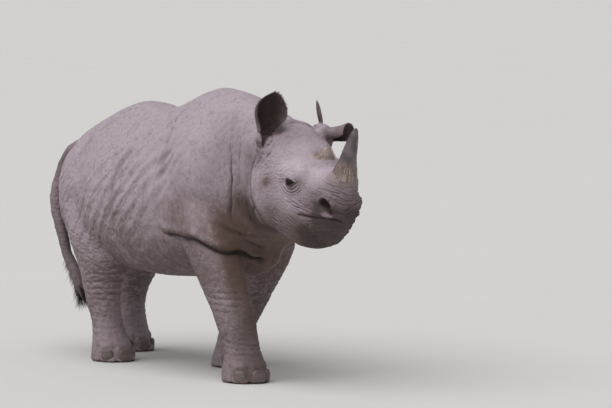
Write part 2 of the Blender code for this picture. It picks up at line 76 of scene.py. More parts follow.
HEAD_YAW = math.radians(5)  # the head's turn to the animal's right
HEAD_PITCH = math.radians(14)  # how far the crown-to-horn line drops
CROWN_ON_BODY = (0.480, -0.020, 1.023)  # forward, left and up of the crown
EYE = (0.280, 0.126, -0.150)  # along, out and up of an eyeball's middle
FRONT_HORN = (0.460, -0.066, 0.194, 0.040, 0.038)  # along, up, height, radius, lean
REAR_HORN = (0.298, -0.050, 0.050, 0.050, 0.014)
FRONT_BLUNT, REAR_BLUNT = 4.5, 1.5  # how late each horn closes to its tip
HORN_SUNK = 0.020
HORN_FLARE = 0.014

VOXEL = 0.004  # size of the hide's remesh
SMOOTHING = 110  # passes over the remeshed hide
SMOOTH_SUNK = 0.0012  # how far smoothing leaves the hide within the flesh
OVERLAP = 0.0008  # how far the solids are swelled so that they fuse
CLEAR = 0.0008  # height of the hide's soles over the solids' own
EYEBALL = 0.0195
LID = 0.0235  # radius of the lids over the eyeball
EYE_HALF = 0.0205  # half the length of the opening between the lids
EYE_TURN, EYE_TILT = math.radians(14), math.radians(10)  # how far it faces ahead, and slants

FLESH = ("head", "neck", "trunk", "tail", "leg_front_right", "leg_front_left", "leg_hind_right",
         "leg_hind_left")
EARS = ("ear_right", "ear_left")
EYES = ("eye_right", "eye_left")
NAILS = tuple(name for name in nodes if name.startswith("nail"))
SIDES = (-1, 1)  # right and left

# Each leg's side (+1 left) and its middle line: up, forward, out.
LEGS = {
    "front_right": (-1, ((0.00, 0.383, 0.150), (0.14, 0.355, 0.155), (0.30, 0.300, 0.168),
                         (0.50, 0.195, 0.182), (0.65, 0.110, 0.180))),
    "front_left": (1, ((0.00, -0.103, 0.130), (0.14, -0.095, 0.135), (0.30, -0.015, 0.150),
                       (0.50, 0.080, 0.172), (0.65, 0.090, 0.172))),
    "hind_right": (-1, ((0.00, -0.573, 0.148), (0.12, -0.605, 0.150), (0.25, -0.640, 0.156),
                        (0.43, -0.625, 0.170), (0.55, -0.650, 0.166))),
    "hind_left": (1, ((0.00, -0.868, 0.144), (0.12, -0.895, 0.146), (0.25, -0.905, 0.152),
                      (0.43, -0.820, 0.165), (0.55, -0.790, 0.165))),
}

# The tail's middle line and radius: forward, left, up, radius.
TAIL = (
    (-1.098, -0.008, 0.838, 0.036),
    (-1.140, -0.022, 0.785, 0.034),
    (-1.154, -0.045, 0.715, 0.031),
    (-1.152, -0.064, 0.645, 0.029),
    (-1.133, -0.072, 0.585, 0.028),
    (-1.092, -0.072, 0.500, 0.026),
    (-1.058, -0.067, 0.407, 0.024),
    (-1.015, -0.058, 0.340, 0.027),
    (-0.982, -0.052, 0.275, 0.024),
    (-0.962, -0.048, 0.225, 0.008),
)

# Ears: share of the length, radius of the cup, degrees that the cup wraps round.
EAR_CUP = (
    (0.00, 0.027, 320),
    (0.14, 0.034, 290),
    (0.28, 0.046, 262),
    (0.50, 0.061, 225),
    (0.70, 0.057, 190),
    (0.87, 0.036, 165),
    (1.00, 0.010, 150),
)
EAR_LENGTH = 0.185
TORN_CUP = (
    (0.00, 0.026, 340),
    (0.35, 0.026, 320),
    (0.70, 0.032, 280),
    (1.00, 0.043, 235),
)
TORN_LENGTH = 0.130
EAR_ROOT = (0.052, 0.133, -0.035)


# --- Frames ---

def middle(node):
    low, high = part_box(node)
    return (Vector(low) + Vector(high)) / 2


def on_body(forward, left, up):
    return Vector((left, -forward, up))


HEAD_TURN = Matrix.Rotation(-HEAD_YAW, 3, "Z") @ Matrix.Rotation(HEAD_PITCH, 3, "X")
CROWN = (middle("eye_right") + middle("eye_left")) / 2 - HEAD_TURN @ on_body(EYE[0], 0, EYE[2])
BODY_ORIGIN = CROWN - on_body(*CROWN_ON_BODY)


def head_place(along, left, up):
    return CROWN + HEAD_TURN @ on_body(along, left, up)


def head_axes(points):
    """Columns along, left and up on the head, for rows of points."""
    turned = (points - np.array(CROWN)) @ np.array(HEAD_TURN)
    return np.column_stack((-turned[:, 1], turned[:, 0], turned[:, 2]))


def body_axes(points):
    """Columns forward, left and up on the body, for rows of points."""
    moved = points - np.array(BODY_ORIGIN)
    return np.column_stack((-moved[:, 1], moved[:, 0], moved[:, 2]))


# --- Fields over points ---

def ease(low, high, x):
    """0 at low, 1 at high and smooth between, whichever of the two is the greater."""
    t = np.clip((x - low) / (high - low), 0, 1)
    return t * t * (3 - 2 * t)


def between(low, high, soft, x):
    return ease(low - soft, low + soft, x) * ease(high + soft, high - soft, x)


def bell(x, width):
    return np.exp(-((x / width) ** 2))


def noise(points, scale, seed=0):
    """Smooth value noise from -1 to 1, with cells 1/scale metres across."""
    p = points * scale + 31.7 * seed + 1000.0
    cell = np.floor(p).astype(np.int64)
    t = p - cell
    t = t * t * (3 - 2 * t)
    total = np.zeros(len(points))
    for corner in np.ndindex(2, 2, 2):
        lattice = cell + corner
        key = lattice[:, 0] * 73856093 ^ lattice[:, 1] * 19349663 ^ lattice[:, 2] * 83492791
        key = (key * 2654435761) & 0xFFFFFFFF
        key = (((key >> 15) ^ key) * 2246822519) & 0xFFFFFFFF
        value = ((key >> 8) & 0xFFFF) / 32767.5 - 1
        weight = np.ones(len(points))
        for axis in range(3):
            weight *= t[:, axis] if corner[axis] else 1 - t[:, axis]
        total += weight * value
    return total


def valleys(phase, sharp=3.0):
    """0 on flats and -1 in thin valleys, one to each whole step of phase."""
    return -((0.5 + 0.5 * np.cos(2 * np.pi * phase)) ** sharp)


def web(points, spacing, seed, thin=2.6):
    """Irregular creases: 0 on flats and -1 in valleys, with meshes of spacing along each axis."""
    places = points / np.array(spacing)
    value = noise(places, 1.0, seed) + 0.6 * noise(places, 2.03, seed + 1)
    return -(np.clip(1 - thin * np.abs(value), 0, 1) ** 1.3)


def near_path(points, path):
    """Distance of each point to a line through the path's points, and its share along it."""
    path = np.array(path, float)
    best = np.full(len(points), np.inf)
    share = np.zeros(len(points))
    count = len(path) - 1
    for k in range(count):
        a, b = path[k], path[k + 1]
        t = np.clip(((points - a) @ (b - a)) / ((b - a) @ (b - a)), 0, 1)
        gap = np.linalg.norm(points - a - t[:, None] * (b - a), axis=1)
        closer = gap < best
        best[closer] = gap[closer]
        share[closer] = (k + t[closer]) / count
    return best, share


def crease(points, path, width, depth, lip=0.35):
    """A groove along a path laid onto the surface, with soft raised lips, that fades out at both ends."""
    path = np.array(path, float)
    reach = 5 * width + 0.03
    near = np.flatnonzero(np.all((points > path.min(0) - reach) & (points < path.max(0) + reach), axis=1))
    lift = np.zeros(len(points))
    if not len(near):
        return lift
    steps = np.linspace(0, len(path) - 1, 3 * len(path) - 2)
    finer = np.column_stack([np.interp(steps, np.arange(len(path)), column) for column in path.T])
    laid = [points[near[np.argmin(((points[near] - place) ** 2).sum(axis=1))]] for place in finer]
    gap, share = near_path(points[near], laid)
    fade = ease(0, 0.18, share) * ease(1, 0.82, share)
    shape = lip * bell(gap - 1.9 * width, width) - bell(gap, width)
    lift[near] = depth * fade * shape
    return lift


def both_sides(path):
    return [[(ahead, side * left, up) for ahead, left, up in path] for side in SIDES]


def creases(points, rows):
    """The grooves on both sides of rows of path, width, depth and perhaps lip."""
    return sum(crease(points, half, *shape) for path, *shape in rows for half in both_sides(path))


def value_between(knots, at):
    """Catmull-Rom value of every further column of knots at a value of their first column."""
    at = min(max(at, knots[0][0]), knots[-1][0])
    i = max(k for k in range(len(knots) - 1) if knots[k][0] <= at)
    before, start, end, after = (knots[min(max(i + k, 0), len(knots) - 1)] for k in (-1, 0, 1, 2))
    span = end[0] - start[0]
    t = (at - start[0]) / span
    found = []
    for c in range(1, len(start)):
        slope_in = (end[c] - before[c]) / (end[0] - before[0]) * span
        slope_out = (after[c] - start[c]) / (after[0] - start[0]) * span
        found.append(
            start[c] * (2 * t**3 - 3 * t**2 + 1) + end[c] * (3 * t**2 - 2 * t**3)
            + slope_in * (t**3 - 2 * t**2 + t) + slope_out * (t**3 - t**2)
        )
    return found


# --- Mesh work ---

def mesh_object(name, vertices, faces):
    mesh = bpy.data.meshes.new(name)
    mesh.from_pydata([tuple(v) for v in vertices], [], faces)
    mesh.update()
    return link(name, mesh)


def link(name, mesh):
    obj = bpy.data.objects.new(name, mesh)
    bpy.context.scene.collection.objects.link(obj)
    return obj


def bake(obj):
    graph = bpy.context.evaluated_depsgraph_get()
    result = bpy.data.meshes.new_from_object(obj.evaluated_get(graph), depsgraph=graph)
    obj.modifiers.clear()
    obj.data = result


def opened(mesh):
    bm = bmesh.new()
    bm.from_mesh(mesh)
    bm.verts.ensure_lookup_table()
    return bm


def mesh_of(name, bm):
    mesh = bpy.data.meshes.new(name)
    bm.to_mesh(mesh)
    bm.free()
    return mesh


def coordinates(mesh, field="co"):
    flat = np.empty(len(mesh.vertices) * 3, np.float32)
    mesh.vertices.foreach_get(field, flat)
    return flat.reshape(-1, 3).astype(float)


def put(mesh, points):
    mesh.vertices.foreach_set("co", points.astype(np.float32).ravel())
    mesh.update()


def remember(mesh, name, values):
    attribute = mesh.attributes.get(name) or mesh.attributes.new(name, "FLOAT", "POINT")
    attribute.data.foreach_set("value", np.asarray(values, np.float32))


def recall(mesh, name):
    values = np.empty(len(mesh.vertices), np.float32)
    mesh.attributes[name].data.foreach_get("value", values)
    return values.astype(float)


def edge_ends(mesh):
    flat = np.empty(len(mesh.edges) * 2, np.int32)
    mesh.edges.foreach_get("vertices", flat)
    return flat.reshape(-1, 2).astype(np.int64)


def ring_faces(rings, sides, start=0):
    """Quads between stacked rings of vertices, the first of which begins at start."""
    return [
        (low + i, low + (i + 1) % sides, low + sides + (i + 1) % sides, low + sides + i)
        for low in range(start, start + sides * (rings - 1), sides) for i in range(sides)
    ]


def relaxed(mesh, values, passes, weight=0.5):
    """Values on vertices, moved in each pass by weight of the way to the mean of their neighbours."""
    ends = edge_ends(mesh)
    a, b = ends[:, 0], ends[:, 1]
    count = len(mesh.vertices)
    degree = np.maximum(np.bincount(ends.ravel(), minlength=count), 1)
    columns = [np.array(c, float) for c in np.reshape(values, (count, -1)).T]
    for _ in range(passes):
        for column in columns:
            mean = (np.bincount(a, column[b], count) + np.bincount(b, column[a], count)) / degree
            column += weight * (mean - column)
    return np.column_stack(columns) if len(columns) > 1 else columns[0]


def refine(mesh, chosen):
    """Cut in half each edge with both ends chosen, and so split its faces."""
    bm = opened(mesh)
    edges = [e for e in bm.edges if chosen[e.verts[0].index] and chosen[e.verts[1].index]]
    bmesh.ops.subdivide_edges(bm, edges=edges, cuts=1, use_grid_fill=True)
    bm.to_mesh(mesh)
    bm.free()


def keep_largest(mesh):
    """Delete all but the mesh's largest loose piece."""
    ends = edge_ends(mesh)
    a, b = ends[:, 0], ends[:, 1]
    label = np.arange(len(mesh.vertices))
    while True:
        before = label.copy()
        low = np.minimum(label[a], label[b])
        np.minimum.at(label, a, low)
        np.minimum.at(label, b, low)
        label = label[label]
        if np.array_equal(label, before):
            break
    strays = np.flatnonzero(label != np.bincount(label).argmax())
    if len(strays):
        bm = opened(mesh)
        bmesh.ops.delete(bm, geom=[bm.verts[i] for i in strays], context="VERTS")
        bm.to_mesh(mesh)
        bm.free()


# --- Ears ---

def ear_frame(side, axis, opening):
    """An ear's root and its axes: across, back and up, with the cup open away from back."""
    up = on_body(*axis).normalized()
    back = -(on_body(*opening) - on_body(*opening).dot(up) * up).normalized()
    turn = HEAD_TURN @ Matrix((back.cross(up), back, up)).transposed()
    return head_place(EAR_ROOT[0], side * EAR_ROOT[1], EAR_ROOT[2]), turn


RIGHT_EAR = ear_frame(-1, (0.12, 0.12, 1.0), (0.93, -0.30, 0.1))
LEFT_EAR = ear_frame(1, (0.86, 0.42, 0.27), (0.25, -0.35, -0.8))
EAR_SHEETS = ((RIGHT_EAR, EAR_CUP, EAR_LENGTH), (LEFT_EAR, TORN_CUP, TORN_LENGTH))


def cup_point(place, cup, length, share, bend, out=0.0):
    """A point on an ear's cup, at a bend from -1 to 1 round it, and its angle from the cup's back."""
    root, turn = place
    radius, wrap = value_between(cup, share)
    angle = math.radians(wrap) * bend / 2
    r = radius + out
    return root + turn @ Vector((r * math.sin(angle), r * math.cos(angle), length * share)), angle


def ear_form(ear, thickness=0.0085, across=40, rows=30):
    """A smooth rolled ear as a closed sheet, thinner at its rims."""
    layers = []
    for layer in (0.5, -0.5):
        for j in range(rows + 1):
            share = j / rows
            for i in range(across + 1):
                bend = 2 * i / across - 1
                thin = 1 - 0.35 * bend**6 - 0.2 * share**4
                layers.append(cup_point(*ear, share, bend, layer * thickness * thin)[0])
    row = across + 1
    sheet = row * (rows + 1)
    faces = []
    for j in range(rows):
        for i in range(across):
            a = j * row + i
            faces.append((a, a + 1, a + row + 1, a + row))
            faces.append((a + sheet, a + sheet + row, a + sheet + row + 1, a + sheet + 1))
    rim = list(range(across)) + [j * row + across for j in range(rows)]
    rim += [rows * row + i for i in range(across, 0, -1)] + [j * row for j in range(rows, 0, -1)]
    for a, b in zip(rim, rim[1:] + rim[:1]):
        faces.append((b, a, a + sheet, b + sheet))
    return layers, faces


def cup_at(cup, share):
    """A cup's radius, and half the angle it wraps round, at shares of its length."""
    steps = np.linspace(0, 1, 81)
    table = np.array([value_between(cup, step) for step in steps])
    return np.interp(share, steps, table[:, 0]), np.radians(np.interp(share, steps, table[:, 1])) / 2


def on_ear(points, place):
    """Columns across, back and up on an ear, for rows of points."""
    root, turn = place
    return (points - np.array(root)) @ np.array(turn)


def ear_axes(points, place, length):
    """Share along an ear, distance from its axis and angle from its back, in radians."""
    across, back, up = on_ear(points, place).T
    return up / length, np.hypot(across, back), np.arctan2(across, back)


def ball(centre, radii, turn=Matrix.Identity(3), segments=24):
    bm = bmesh.new()
    bmesh.ops.create_uvsphere(bm, u_segments=segments, v_segments=segments // 2, radius=1.0)
    pose = Matrix.Translation(centre) @ turn.to_4x4() @ Matrix.Diagonal((*radii, 1))
    bmesh.ops.transform(bm, matrix=pose, verts=bm.verts)
    return bm


# --- The hide's form ---

def join(target, piece):
    mesh = mesh_of("piece", piece)
    target.from_mesh(mesh)
    bpy.data.meshes.remove(mesh)


def solid_of(name, swell, top=None):
    """A CAD node's own mesh, swelled, and pressed flat above top on the head where that is given."""
    piece = opened(nodes[name].data)
    bmesh.ops.remove_doubles(piece, verts=piece.verts, dist=1e-6)
    piece.normal_update()
    for vert in piece.verts:
        vert.co += vert.normal * swell
        if top is not None:
            along, left, up = head_axes(np.array([vert.co]))[0]
            vert.co = head_place(along, left, min(up, top))
    return piece


def fused_flesh():
    """One closed mesh round the solids of flesh, the ears, the nails and the lids over the eyes."""
    bm = bmesh.new()
    for name in FLESH + NAILS:
        join(bm, solid_of(name, OVERLAP))
    for name in EYES:
        join(bm, solid_of(name, LID - EYEBALL))
    join(bm, solid_of("horn_front", OVERLAP, FRONT_HORN[1]))
    join(bm, solid_of("horn_rear", OVERLAP, REAR_HORN[1]))
    for ear in EAR_SHEETS:
        sheet = mesh_object("sheet", *ear_form(ear))
        bm.from_mesh(sheet.data)
        bpy.data.objects.remove(sheet)

    # the right ear's foot; the torn ear's foot, its standing strip and its hanging lobe
    root, turn = RIGHT_EAR
    along, out, up = EAR_ROOT
    lean = HEAD_TURN @ Matrix.Rotation(math.radians(-20), 3, "Y")
    for centre, radii, pose in (
        (root + turn @ Vector((0, 0, -0.010)), (0.034, 0.034, 0.030), turn),
        (head_place(along, out, up), (0.044, 0.051, 0.046), HEAD_TURN),
        (head_place(along - 0.038, out + 0.002, up + 0.068), (0.012, 0.008, 0.072), lean),
        (head_place(along + 0.046, out + 0.012, up - 0.022), (0.012, 0.013, 0.034), HEAD_TURN),
    ):
        join(bm, ball(centre, radii, pose))

    made = link("hide", mesh_of("hide", bm))
    fuse = made.modifiers.new("fuse", "REMESH")
    fuse.mode = "VOXEL"
    fuse.voxel_size = VOXEL
    bake(made)
    keep_largest(made.data)
    return made


def ear_mask(points):
    """1 on the free part of either ear, 0 elsewhere."""
    mask = np.zeros(len(points))
    for place, cup, length in EAR_SHEETS:
        share, radial, _ = ear_axes(points, place, length)
        radius, _ = cup_at(cup, share)
        mask = np.maximum(mask, between(0.22, 1.06, 0.10, share) * (radial < radius + 0.014))
    along, left, up = head_axes(points).T
    strip = (np.abs(along - 0.014) < 0.03) & (np.abs(left - 0.12) < 0.05) & (up > 0.0)
    lobe = (np.abs(along - 0.098) < 0.03) & (np.abs(left - 0.145) < 0.03) & (np.abs(up + 0.0775) < 0.0225)
    return np.where(strip | lobe, 1.0, mask)


def head_mask(points):
    along, _, up = head_axes(points).T
    return ease(-0.05, 0.05, along) * ease(-0.52, -0.44, up)


def round_tail(body):
    """How far outside the tail's surface each point is, and its share down the tail."""
    gap, share = near_path(body, [row[:3] for row in TAIL])
    radius = np.interp(share * (len(TAIL) - 1), np.arange(len(TAIL)), [row[3] for row in TAIL])
    return gap - radius, share


def smooth_flesh(mesh):
    """Take the facets and cuts out of the flesh without shrinking it."""
    points = coordinates(mesh)
    ears, head = ear_mask(points), head_mask(points)
    up = body_axes(points)[:, 2]
    face = ease(0.30, 0.42, head_axes(points)[:, 0]) * head
    strength = 1 - 0.62 * head - 0.18 * face
    strength *= 1 - 0.6 * ease(0.12, 0.03, up)
    strength *= 1 - 0.75 * ease(0.030, 0.010, round_tail(body_axes(points))[0])
    strength = relaxed(mesh, strength * (1 - 0.95 * ears), 6)
    strength = np.maximum(strength, 0.03)
    soft = relaxed(mesh, points, SMOOTHING, 0.5 * strength)
    put(mesh, soft)
    facing = coordinates(mesh, "normal")
    lost = relaxed(mesh, np.einsum("ij,ij->i", points - soft, facing), SMOOTHING // 2, 0.5)
    put(mesh, soft + facing * (lost - SMOOTH_SUNK)[:, None])


# --- Folds and wrinkles ---

# The hind edge of the jaw, from the ear to the throat: along, out and up.
JAW = ((0.030, 0.140, -0.075), (0.018, 0.160, -0.140), (0.028, 0.165, -0.190), (0.060, 0.172, -0.260),
       (0.088, 0.168, -0.305), (0.124, 0.158, -0.340), (0.150, 0.116, -0.380), (0.170, 0.050, -0.410))


def behind_jaw(head):
    line = np.interp(head[:, 2], [place[2] for place in JAW[::-1]], [place[0] for place in JAW[::-1]])
    return ease(0.004, -0.030, head[:, 0] - line)


def neck_folds(body, head, wander):
    """Upright folds round the neck, closer together behind the cheek."""
    forward, left, up = body.T
    curve = 0.045 * bell(up - 0.78, 0.17) + 0.035 * bell(up - 0.52, 0.1)
    phase = (forward - 0.255 - curve) / 0.043 + 0.22 * wander
    zone = between(0.27, 0.47, 0.035, forward - curve) * between(0.56, 1.00, 0.08, up)
    zone *= ease(0.06, 0.12, np.abs(left)) * behind_jaw(head)
    lift = 0.0042 * zone * valleys(phase, 3.5)
    bent = np.column_stack((forward - curve, left, up))
    lift += 0.0030 * zone * web(bent, (0.017, 0.06, 0.075), 31)
    return lift + creases(head, ((JAW, 0.020, 0.011, 0.4),))


def shoulder_folds(body):
    """Creases of the shoulder, the back and the breast, and a nick behind the right shoulder."""
    lift = creases(body, (
        (((0.30, 0.170, 0.98), (0.318, 0.182, 0.90), (0.345, 0.198, 0.80), (0.340, 0.196, 0.70),
          (0.31, 0.18, 0.62)), 0.008, 0.006),
        (((-0.055, 0.20, 1.00), (-0.04, 0.23, 0.96), (-0.03, 0.27, 0.86), (-0.04, 0.29, 0.73),
          (-0.07, 0.27, 0.53)), 0.045, 0.007),
        (((-0.035, 0.130, 1.075), (-0.047, 0.158, 1.056), (-0.058, 0.178, 1.034),
          (-0.062, 0.200, 1.000)), 0.014, 0.006),
        (((-0.700, 0.195, 0.925), (-0.654, 0.188, 0.948), (-0.580, 0.170, 0.982), (-0.501, 0.148, 1.016),
          (-0.470, 0.105, 1.044), (-0.440, 0.070, 1.060)), 0.017, 0.0055),
        (((-0.30, 0.28, 0.86), (-0.33, 0.29, 0.82), (-0.345, 0.30, 0.76), (-0.34, 0.30, 0.68)), 0.016, 0.004),
        (((-0.40, 0.31, 0.78), (-0.45, 0.31, 0.68), (-0.49, 0.30, 0.58), (-0.50, 0.25, 0.47),
          (-0.47, 0.18, 0.41)), 0.034, 0.0045),
        (((-0.44, 0.31, 0.82), (-0.51, 0.31, 0.70), (-0.545, 0.29, 0.58), (-0.54, 0.24, 0.48)), 0.020, 0.003),
        (((0.30, 0.10, 0.60), (0.33, 0.05, 0.52), (0.30, 0.02, 0.44)), 0.014, 0.008),
        (((0.22, 0.22, 0.62), (0.29, 0.16, 0.60), (0.35, 0.09, 0.60), (0.38, 0.02, 0.62)), 0.012, 0.006),
    ))
    nick = (
        (-0.042, -0.146, 1.066), (-0.050, -0.162, 1.050),
        (-0.058, -0.180, 1.030), (-0.060, -0.194, 1.012),
    )
    return lift + crease(body, nick, 0.008, 0.009)


def flank_relief(body, wander):
    """Ribs felt through the skin and slack folds that slant down and back."""
    forward, left, up = body.T
    slant = forward - 0.9 * (up - 0.75)
    zone = between(-0.50, -0.02, 0.10, slant) * between(0.56, 0.98, 0.09, up) * ease(0.15, 0.24, np.abs(left))
    lift = 0.0024 * zone * np.sin(2 * np.pi * (slant / 0.078 + 0.45 * wander))
    side = ease(0.10, 0.18, np.abs(left)) * ease(0.42, 0.55, up)
    slanting = np.column_stack((slant, left, up + 0.9 * forward))
    lift += 0.0022 * side * between(-1.2, -0.15, 0.10, forward) * web(slanting, (0.034, 0.06, 0.13), 35, 2.0)
    return lift


def leg_axes(body, leg):
    """Ahead of and outside a leg's middle line."""
    side, line = LEGS[leg]
    table = np.array(line)
    ahead = body[:, 0] - np.interp(body[:, 2], table[:, 0], table[:, 1])
    aside = side * body[:, 1] - np.interp(body[:, 2], table[:, 0], table[:, 2])
    return ahead, aside


def leg_folds(body, points, wander):
    """The flap over each foreleg, folds at knee, hock and ankle, and the toes' outlines."""
    lift = np.zeros(len(body))
    up = body[:, 2]
    netted = web(points, (0.034, 0.034, 0.015), 41, 2.2)
    loose = 0.20 * wander + 0.16 * noise(points, 9, 3)
    for leg in LEGS:
        ahead, aside = leg_axes(body, leg)
        reach = np.hypot(ahead, aside)
        on_leg = ease(0.19, 0.15, reach) * ease(0.60, 0.52, up)
        angle = np.arctan2(aside, ahead)
        low, high, behind, before, pitch, depth = 0.26, 0.40, -0.02, 0.05, 0.030, 0.0024
        if leg.startswith("front"):
            low, high, behind, before, pitch, depth = 0.27, 0.37, -0.06, 0.04, 0.026, 0.0022
            flap = 0.562 - 0.055 * ease(0.02, 0.16, ahead) - 0.05 * ease(-0.02, -0.12, aside)
            gap = up - flap - 0.006 * wander
            edge = 0.010 * bell(gap - 0.026, 0.018) - 0.019 * bell(gap, 0.0085)
            edge -= 0.006 * bell(gap + 0.014, 0.014)
            lift += edge * ease(-0.9, -0.3, np.cos(angle - 0.7)) * ease(0.21, 0.17, reach)
        bend = between(low, high, 0.03, up) * on_leg * ease(behind, before, ahead)
        lift += depth * bend * valleys(up / pitch + wander + loose, 2.5)
        ankle = between(0.085, 0.19, 0.015, up) * on_leg
        lift += 0.0014 * ankle * valleys(up / 0.0215 + 0.9 * wander + loose, 2)
        lift += 0.0022 * on_leg * between(0.09, 0.56, 0.04, up) * netted
        foot = ease(0.085, 0.06, up) * on_leg
        for fan, strength, width in ((-26, 1.0, 0.13), (26, 1.0, 0.13), (-80, 0.8, 0.15), (80, 0.8, 0.15)):
            lift -= 0.007 * strength * foot * bell(angle - math.radians(fan), width)
        lift += 0.0030 * on_leg * bell(up - 0.070, 0.009) * ease(0.2, 0.5, np.cos(angle))
    return lift


def eye_axes(head):
    """In the plane of the lids: ahead, above and out of the nearer eye's middle."""
    ahead, out, above = (np.abs(head) * (0, 1, 0) + head * (1, 0, 1) - EYE).T
    cosine, sine = math.cos(EYE_TURN), math.sin(EYE_TURN)
    return ahead * cosine - out * sine, above, out * cosine + ahead * sine


def almond(ahead, above):
    """Distance outside the eye's opening, negative inside it."""
    cosine, sine = math.cos(EYE_TILT), math.sin(EYE_TILT)
    ahead, above = ahead * cosine + above * sine, above * cosine - ahead * sine
    lid = np.where(above > 0, 0.0118, 0.0102) * np.clip(1 - (ahead / EYE_HALF) ** 2, 0, 1) ** 0.75
    beyond = np.maximum(np.abs(ahead) - EYE_HALF, 0)
    return np.where(beyond > 0, np.hypot(beyond, above), np.abs(above) - lid)


def face_folds(head, points):
    along, left, up = head.T
    out = np.abs(left)
    temple = between(0.06, 0.34, 0.04, along) * between(-0.20, -0.03, 0.04, up) * ease(0.04, 0.08, out)
    fanned = np.column_stack((along + 0.6 * up, left, up - 0.6 * along))
    lift = 0.0016 * temple * web(fanned, (0.045, 0.04, 0.013), 53)
    lift += 0.0007 * web(head, (0.022, 0.022, 0.014), 55, 2.0)

    # rings round each eye, its brow, and the rim and groove of its lids
    ahead, above, _ = eye_axes(head)
    near = (out > 0.05) & (np.abs(ahead) < 0.12) & (np.abs(above) < 0.12)
    ring = np.hypot(ahead * 0.88 + 0.003, above * 1.05 + 0.003)
    zone = ease(0.074, 0.040, ring) * ease(0.020, 0.025, ring) * (0.30 + 0.70 * ease(0.014, -0.016, above))
    rim = almond(ahead, above)
    lift += near * (
        0.0034 * zone * valleys((ring - 0.0185) / 0.0112 + 0.16 * noise(points, 22, 5), 2.2)
        + 0.0022 * bell(above - 0.034, 0.014) * bell(ahead, 0.035)
        + 0.0024 * bell(rim - 0.0038, 0.0032) - 0.0028 * bell(rim - 0.0098, 0.0026)
    )

    # the cheek's swirl of wrinkles, from under the eye to the corner of the mouth
    level = np.column_stack((along, left, up - 0.9 * (along - 0.36) ** 2 + 0.04 * along))
    zone = between(0.275, 0.44, 0.03, along) * between(-0.252, -0.212, 0.010, up + 0.04 * (along - 0.33))
    lift += 0.0030 * zone * ease(0.04, 0.07, out) * web(level, (0.060, 0.05, 0.0125), 51)
    # slack of the jaw behind the mouth, and the hollows of cheek and temple
    lift += 0.004 * bell(along - 0.30, 0.05) * bell(up + 0.29, 0.045) * ease(0.05, 0.09, out)
    lift -= 0.006 * bell(along - 0.155, 0.020) * bell(up + 0.192, 0.022) * (out > 0.1)
    lift -= 0.004 * bell(along - 0.22, 0.035) * bell(up + 0.075, 0.025) * ease(0.07, 0.10, out)
    # a groove round the right ear's foot
    foot = on_ear(points, RIGHT_EAR) + (0, 0, 0.010)
    lift -= 0.003 * bell(np.linalg.norm(foot / (0.034, 0.034, 0.030), axis=1) - 1.30, 0.16)
    # knobs of the crown
    bumps = noise(points, 75, 8) + 0.7 * noise(points, 140, 9)
    lift += 0.0016 * bumps * bell(along - 0.150, 0.055) * ease(-0.06, -0.02, up)
    # the roll of the nape, then pleats behind and before the ears
    return lift + creases(head, (
        (((0.00, 0.14, -0.02), (0.01, 0.10, 0.006), (0.016, 0.05, 0.014), (0.012, -0.03, 0.015)),
         0.010, 0.013, 0.8),
        (((0.085, 0.150, -0.14), (0.105, 0.145, -0.105), (0.125, 0.125, -0.070), (0.130, 0.10, -0.035)),
         0.010, 0.005),
        (((0.055, 0.165, -0.17), (0.075, 0.16, -0.12), (0.100, 0.145, -0.078)), 0.008, 0.004),
    ))


def muzzle_folds(head, points):
    along, left, up = head.T
    out = np.abs(left)
    broken = np.clip(0.85 + 0.5 * noise(points, 18, 7), 0.2, 1.3)
    # level wrinkles over the snout, between the nostrils and down to the lip
    snout = ease(0.36, 0.45, along) * between(-0.235, -0.100, 0.018, up)
    level = np.column_stack((along, left, up - 0.15 * out))
    # pleats of the lower lip
    lip = up + 0.252 - 0.185 * (along - 0.44)
    lower = ease(0.34, 0.40, along) * between(-0.100, -0.012, 0.010, lip)
    pleated = np.column_stack((along, left, lip + 0.12 * out - 0.1 * along))
    # slanting wrinkles of the chin
    chin = between(0.20, 0.44, 0.03, along) * between(-0.42, -0.29, 0.02, up)
    slanted = np.column_stack((along - 0.5 * up, left, up + 0.5 * along))
    return broken * (
        0.0042 * snout * web(level, (0.050, 0.045, 0.0115), 61, 2.2)
        + 0.0050 * lower * web(pleated, (0.060, 0.050, 0.0095), 63, 1.9)
        + 0.0052 * chin * web(slanted, (0.060, 0.050, 0.0105), 65, 1.9)
    )


# Places along one side of the mouth, and down the slit of a nostril seen from the side: along, out, up.
MOUTH = ((0.338, 0.110, -0.265), (0.355, 0.104, -0.263), (0.400, 0.094, -0.257), (0.440, 0.084, -0.249),
         (0.480, 0.070, -0.239), (0.510, 0.045, -0.237), (0.526, 0.020, -0.246), (0.532, 0.0, -0.254))
COMMA = ((0.458, 0, -0.184), (0.471, 0, -0.187), (0.484, 0, -0.194), (0.493, 0, -0.204), (0.496, 0, -0.213))
NOSTRIL_OUT = 0.030  # least distance of a nostril from the nose's middle


def comma(head):
    """How far inside the nostril's slanting comma each point is, how far beyond its rim, and its share."""
    gap, share = near_path(head * (1, 0, 1), COMMA)
    width = 0.0190 - 0.0115 * ease(0.35, 1.0, share)
    return ease(1.15, 0.55, gap / width), gap - width, share


